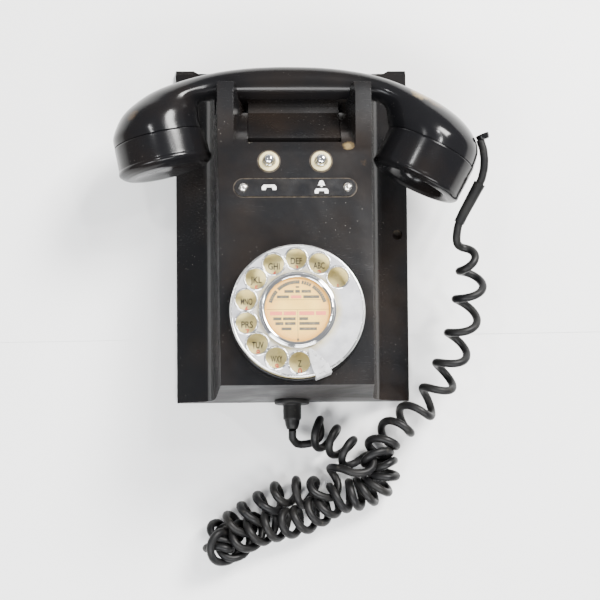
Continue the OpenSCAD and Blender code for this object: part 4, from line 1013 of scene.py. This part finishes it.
def add_handset_body():
    """Grip and two bells in one skin. Section point = middle + half width * cos a, grip height + half depth *
    sin a, with the sections smoothed from seam to seam."""
    s = even(through(handset_stations(), 1200), 260)
    outer, inner, depth = s[:, 0:2], s[:, 2:4], s[:, 4]
    middle, half = (outer + inner) / 2, (outer - inner) / 2
    sides = 112
    a = np.linspace(0, 2 * math.pi, sides, endpoint=False)
    cos, sin = np.cos(a), np.sin(a)
    xy = middle[:, None] + half[:, None] * cos[None, :, None]
    z = GRIP_Z + depth[:, None] * sin[None]
    grid = np.concatenate([xy, z[..., None]], -1) * MM
    ends = [np.repeat(grid[k].mean(0)[None, None], sides, 1) for k in (0, -1)]
    inset = [grid[k][None] * 0.92 + ends[i] * 0.08 for i, k in enumerate((0, -1))]
    skin = np.concatenate([ends[0], inset[0], grid, inset[1], ends[1]])
    dressed(add_surface("handset_skin", [(skin, False, True)]), "handset", "handset",
            ["handset_body"])


def add_caps():
    """Earpiece and mouthpiece caps, turned, with their rims, dishes and openings, and the cord's boss."""
    ear = soften([(0.0, 1.9), (6.0, 2.1), (12.0, 3.0), (20.0, 4.0), (24.2, 3.7), (26.6, 2.4), (28.0, 1.0),
                  (28.7, 0.0), (28.5, -1.6), (28.05, -2.1), (27.95, -5.0), (27.6, -16.2), (27.1, -16.75),
                  (26.6, -16.98), (0.0, -16.98)], 0.7)
    add_turned("earpiece_cap", ear, EAR, 128, "cap", "handset", ["ear_cap"])
    mouth = soften([(0.0, -6.9), (13.6, -6.9), (14.4, -6.6), (14.6, -4.6), (15.2, -2.7), (16.2, -1.2),
                    (19.2, 1.5), (23.2, 2.9), (26.4, 2.2), (28.0, 1.0), (28.5, -0.2), (28.35, -1.8),
                    (28.55, -8.0), (28.75, -20.2), (28.3, -20.8), (27.6, -20.98), (0.0, -20.98)], 0.7)
    add_turned("mouthpiece_cap", mouth, MOUTH, 128, "cap", "handset", ["mouth_cap"])
    boss = soften([(0.0, -0.4), (4.2, -0.4), (4.0, 1.4), (3.5, 3.0), (2.9, 3.2), (0.0, 3.2)], 0.4)
    c, s = math.cos(math.radians(22)), math.sin(math.radians(22))
    place = Place((114.8, 56.4, 51.8), (c, s, 0), (0, 0, 1), (s, -c, 0))
    add_turned("cord_boss", boss, place, 40, "handset", "handset", ["cord_entry"])


def add_gland():
    """Rubber gland with its flange, and the boot that the cord leaves by."""
    gland = soften([(2.6, -6.0), (4.5, -6.0), (4.5, 0.05), (11.0, 0.05), (11.2, 1.2), (10.9, 2.6), (6.2, 2.7),
                    (5.75, 3.4), (5.7, 11.9), (5.3, 12.4), (4.95, 12.5), (4.2, 16.0), (3.3, 18.4),
                    (2.6, 18.5)], 0.45)
    add_turned("gland_rubber", gland, GLAND, 64, "cord", "housing",
               ["cord_gland", "cord_boot"], True)


# ---------------------------------------------------------------- sizes and colours

def size_of(name, description, default, low, high):
    """A size property of the panel, in millimetres."""
    return bpy.props.FloatProperty(name=name, description=description + ", in millimetres", default=default,
                                   min=low, max=high)


class TelephoneCase(bpy.types.PropertyGroup):
    """Sizes of the case and the cradle."""

    edge: size_of("Case edges", "Radius of the case's rounded edges", 0.9, 0.1, 2.0)
    rocker_edge: size_of("Rocker edges", "Radius of the rocker's rounded edges", 0.6, 0.1, 1.5)


class TelephoneDial(bpy.types.PropertyGroup):
    """Sizes of the print on the dial's plate."""

    letter: size_of("Letters", "Height of the black letters", 3.7, 1.0, 5.0)
    digit: size_of("Digits", "Height of the red digits", 3.2, 1.0, 5.0)


def colour_of(name, description, default):
    """A colour property of the panel."""
    return bpy.props.FloatVectorProperty(name=name, description=description, subtype="COLOR", size=3, min=0.0,
                                         max=1.0, default=default)


class TelephoneColours(bpy.types.PropertyGroup):
    """Base colours, over which each finish lays its age and dirt."""

    moulding: colour_of("Moulding", "Case, rocker and handset where they are clean", (0.0045, 0.0045, 0.0052))
    cord: colour_of("Cord", "Rubber of the cord and its gland", (0.0035, 0.0035, 0.004))
    enamel: colour_of("Enamel", "Number plate where it is clean", (0.72, 0.62, 0.28))
    card: colour_of("Card", "Paper of the dial card at its middle", (0.88, 0.57, 0.105))


class Build(bpy.types.Operator):
    """Common to the operators that make the telephone's pieces."""

    bl_options = {"REGISTER", "UNDO"}


class TELEPHONE_OT_stage(Build):
    """Adds the camera, the lamps and the table"""

    bl_idname = "telephone.stage"
    bl_label = "Stage"

    def execute(self, context):
        add_camera()
        add_stage()
        return {"FINISHED"}


class TELEPHONE_OT_cord(Build):
    """Adds the curly cord with its sleeve, and the gland it leaves by"""

    bl_idname = "telephone.cord"
    bl_label = "Cord"

    def execute(self, context):
        add_cord()
        add_gland()
        return {"FINISHED"}


class TELEPHONE_OT_case(Build):
    """Adds the case, the cradle and the finishes of what is inside"""

    bl_idname = "telephone.case"
    bl_label = "Case and cradle"

    def execute(self, context):
        sizes = context.scene.telephone_case
        add_case(sizes.edge)
        add_cradle(sizes.rocker_edge)
        add_works()
        return {"FINISHED"}


class TELEPHONE_OT_dial(Build):
    """Adds the dial: collar, plate, numbers, wheel, ring and card"""

    bl_idname = "telephone.dial"
    bl_label = "Dial"

    def execute(self, context):
        sizes = context.scene.telephone_dial
        add_dial_body()
        add_numbers(sizes.letter, sizes.digit)
        add_wheel()
        add_card()
        return {"FINISHED"}


class TELEPHONE_OT_buttons(Build):
    """Adds the push buttons and the label plate"""

    bl_idname = "telephone.buttons"
    bl_label = "Buttons and label"

    def execute(self, context):
        add_buttons()
        add_label()
        return {"FINISHED"}


class TELEPHONE_OT_handset(Build):
    """Adds the handset's skin and its two caps"""

    bl_idname = "telephone.handset"
    bl_label = "Handset"

    def execute(self, context):
        add_handset_body()
        add_caps()
        return {"FINISHED"}


OPERATORS = (TELEPHONE_OT_stage, TELEPHONE_OT_cord, TELEPHONE_OT_case, TELEPHONE_OT_dial,
             TELEPHONE_OT_buttons, TELEPHONE_OT_handset)


class TELEPHONE_PT_build(bpy.types.Panel):
    """Lists the operators in the order they are used"""

    bl_idname = "TELEPHONE_PT_build"
    bl_label = "Wall telephone"
    bl_space_type = "VIEW_3D"
    bl_region_type = "UI"
    bl_category = "Telephone"

    def draw(self, context):
        column = self.layout.column()
        scene = context.scene
        for group in (scene.telephone_case, scene.telephone_dial, scene.telephone_colours):
            for key in group.__annotations__:
                column.prop(group, key)
        for operator in OPERATORS:
            column.operator(operator.bl_idname)


CLASSES = (TelephoneCase, TelephoneDial, TelephoneColours, *OPERATORS, TELEPHONE_PT_build)


def register():
    for each in CLASSES:
        bpy.utils.register_class(each)
    bpy.types.Scene.telephone_case = bpy.props.PointerProperty(type=TelephoneCase)
    bpy.types.Scene.telephone_dial = bpy.props.PointerProperty(type=TelephoneDial)
    bpy.types.Scene.telephone_colours = bpy.props.PointerProperty(type=TelephoneColours)


def unregister():
    del bpy.types.Scene.telephone_case
    del bpy.types.Scene.telephone_dial
    del bpy.types.Scene.telephone_colours
    for each in reversed(CLASSES):
        bpy.utils.unregister_class(each)


def main():
    register()
    for operator in OPERATORS:
        group, name = operator.bl_idname.split(".")
        if getattr(getattr(bpy.ops, group), name)() != {"FINISHED"}:
            raise RuntimeError(operator.bl_label + " did not finish")


if __name__ == "__main__":
    main()
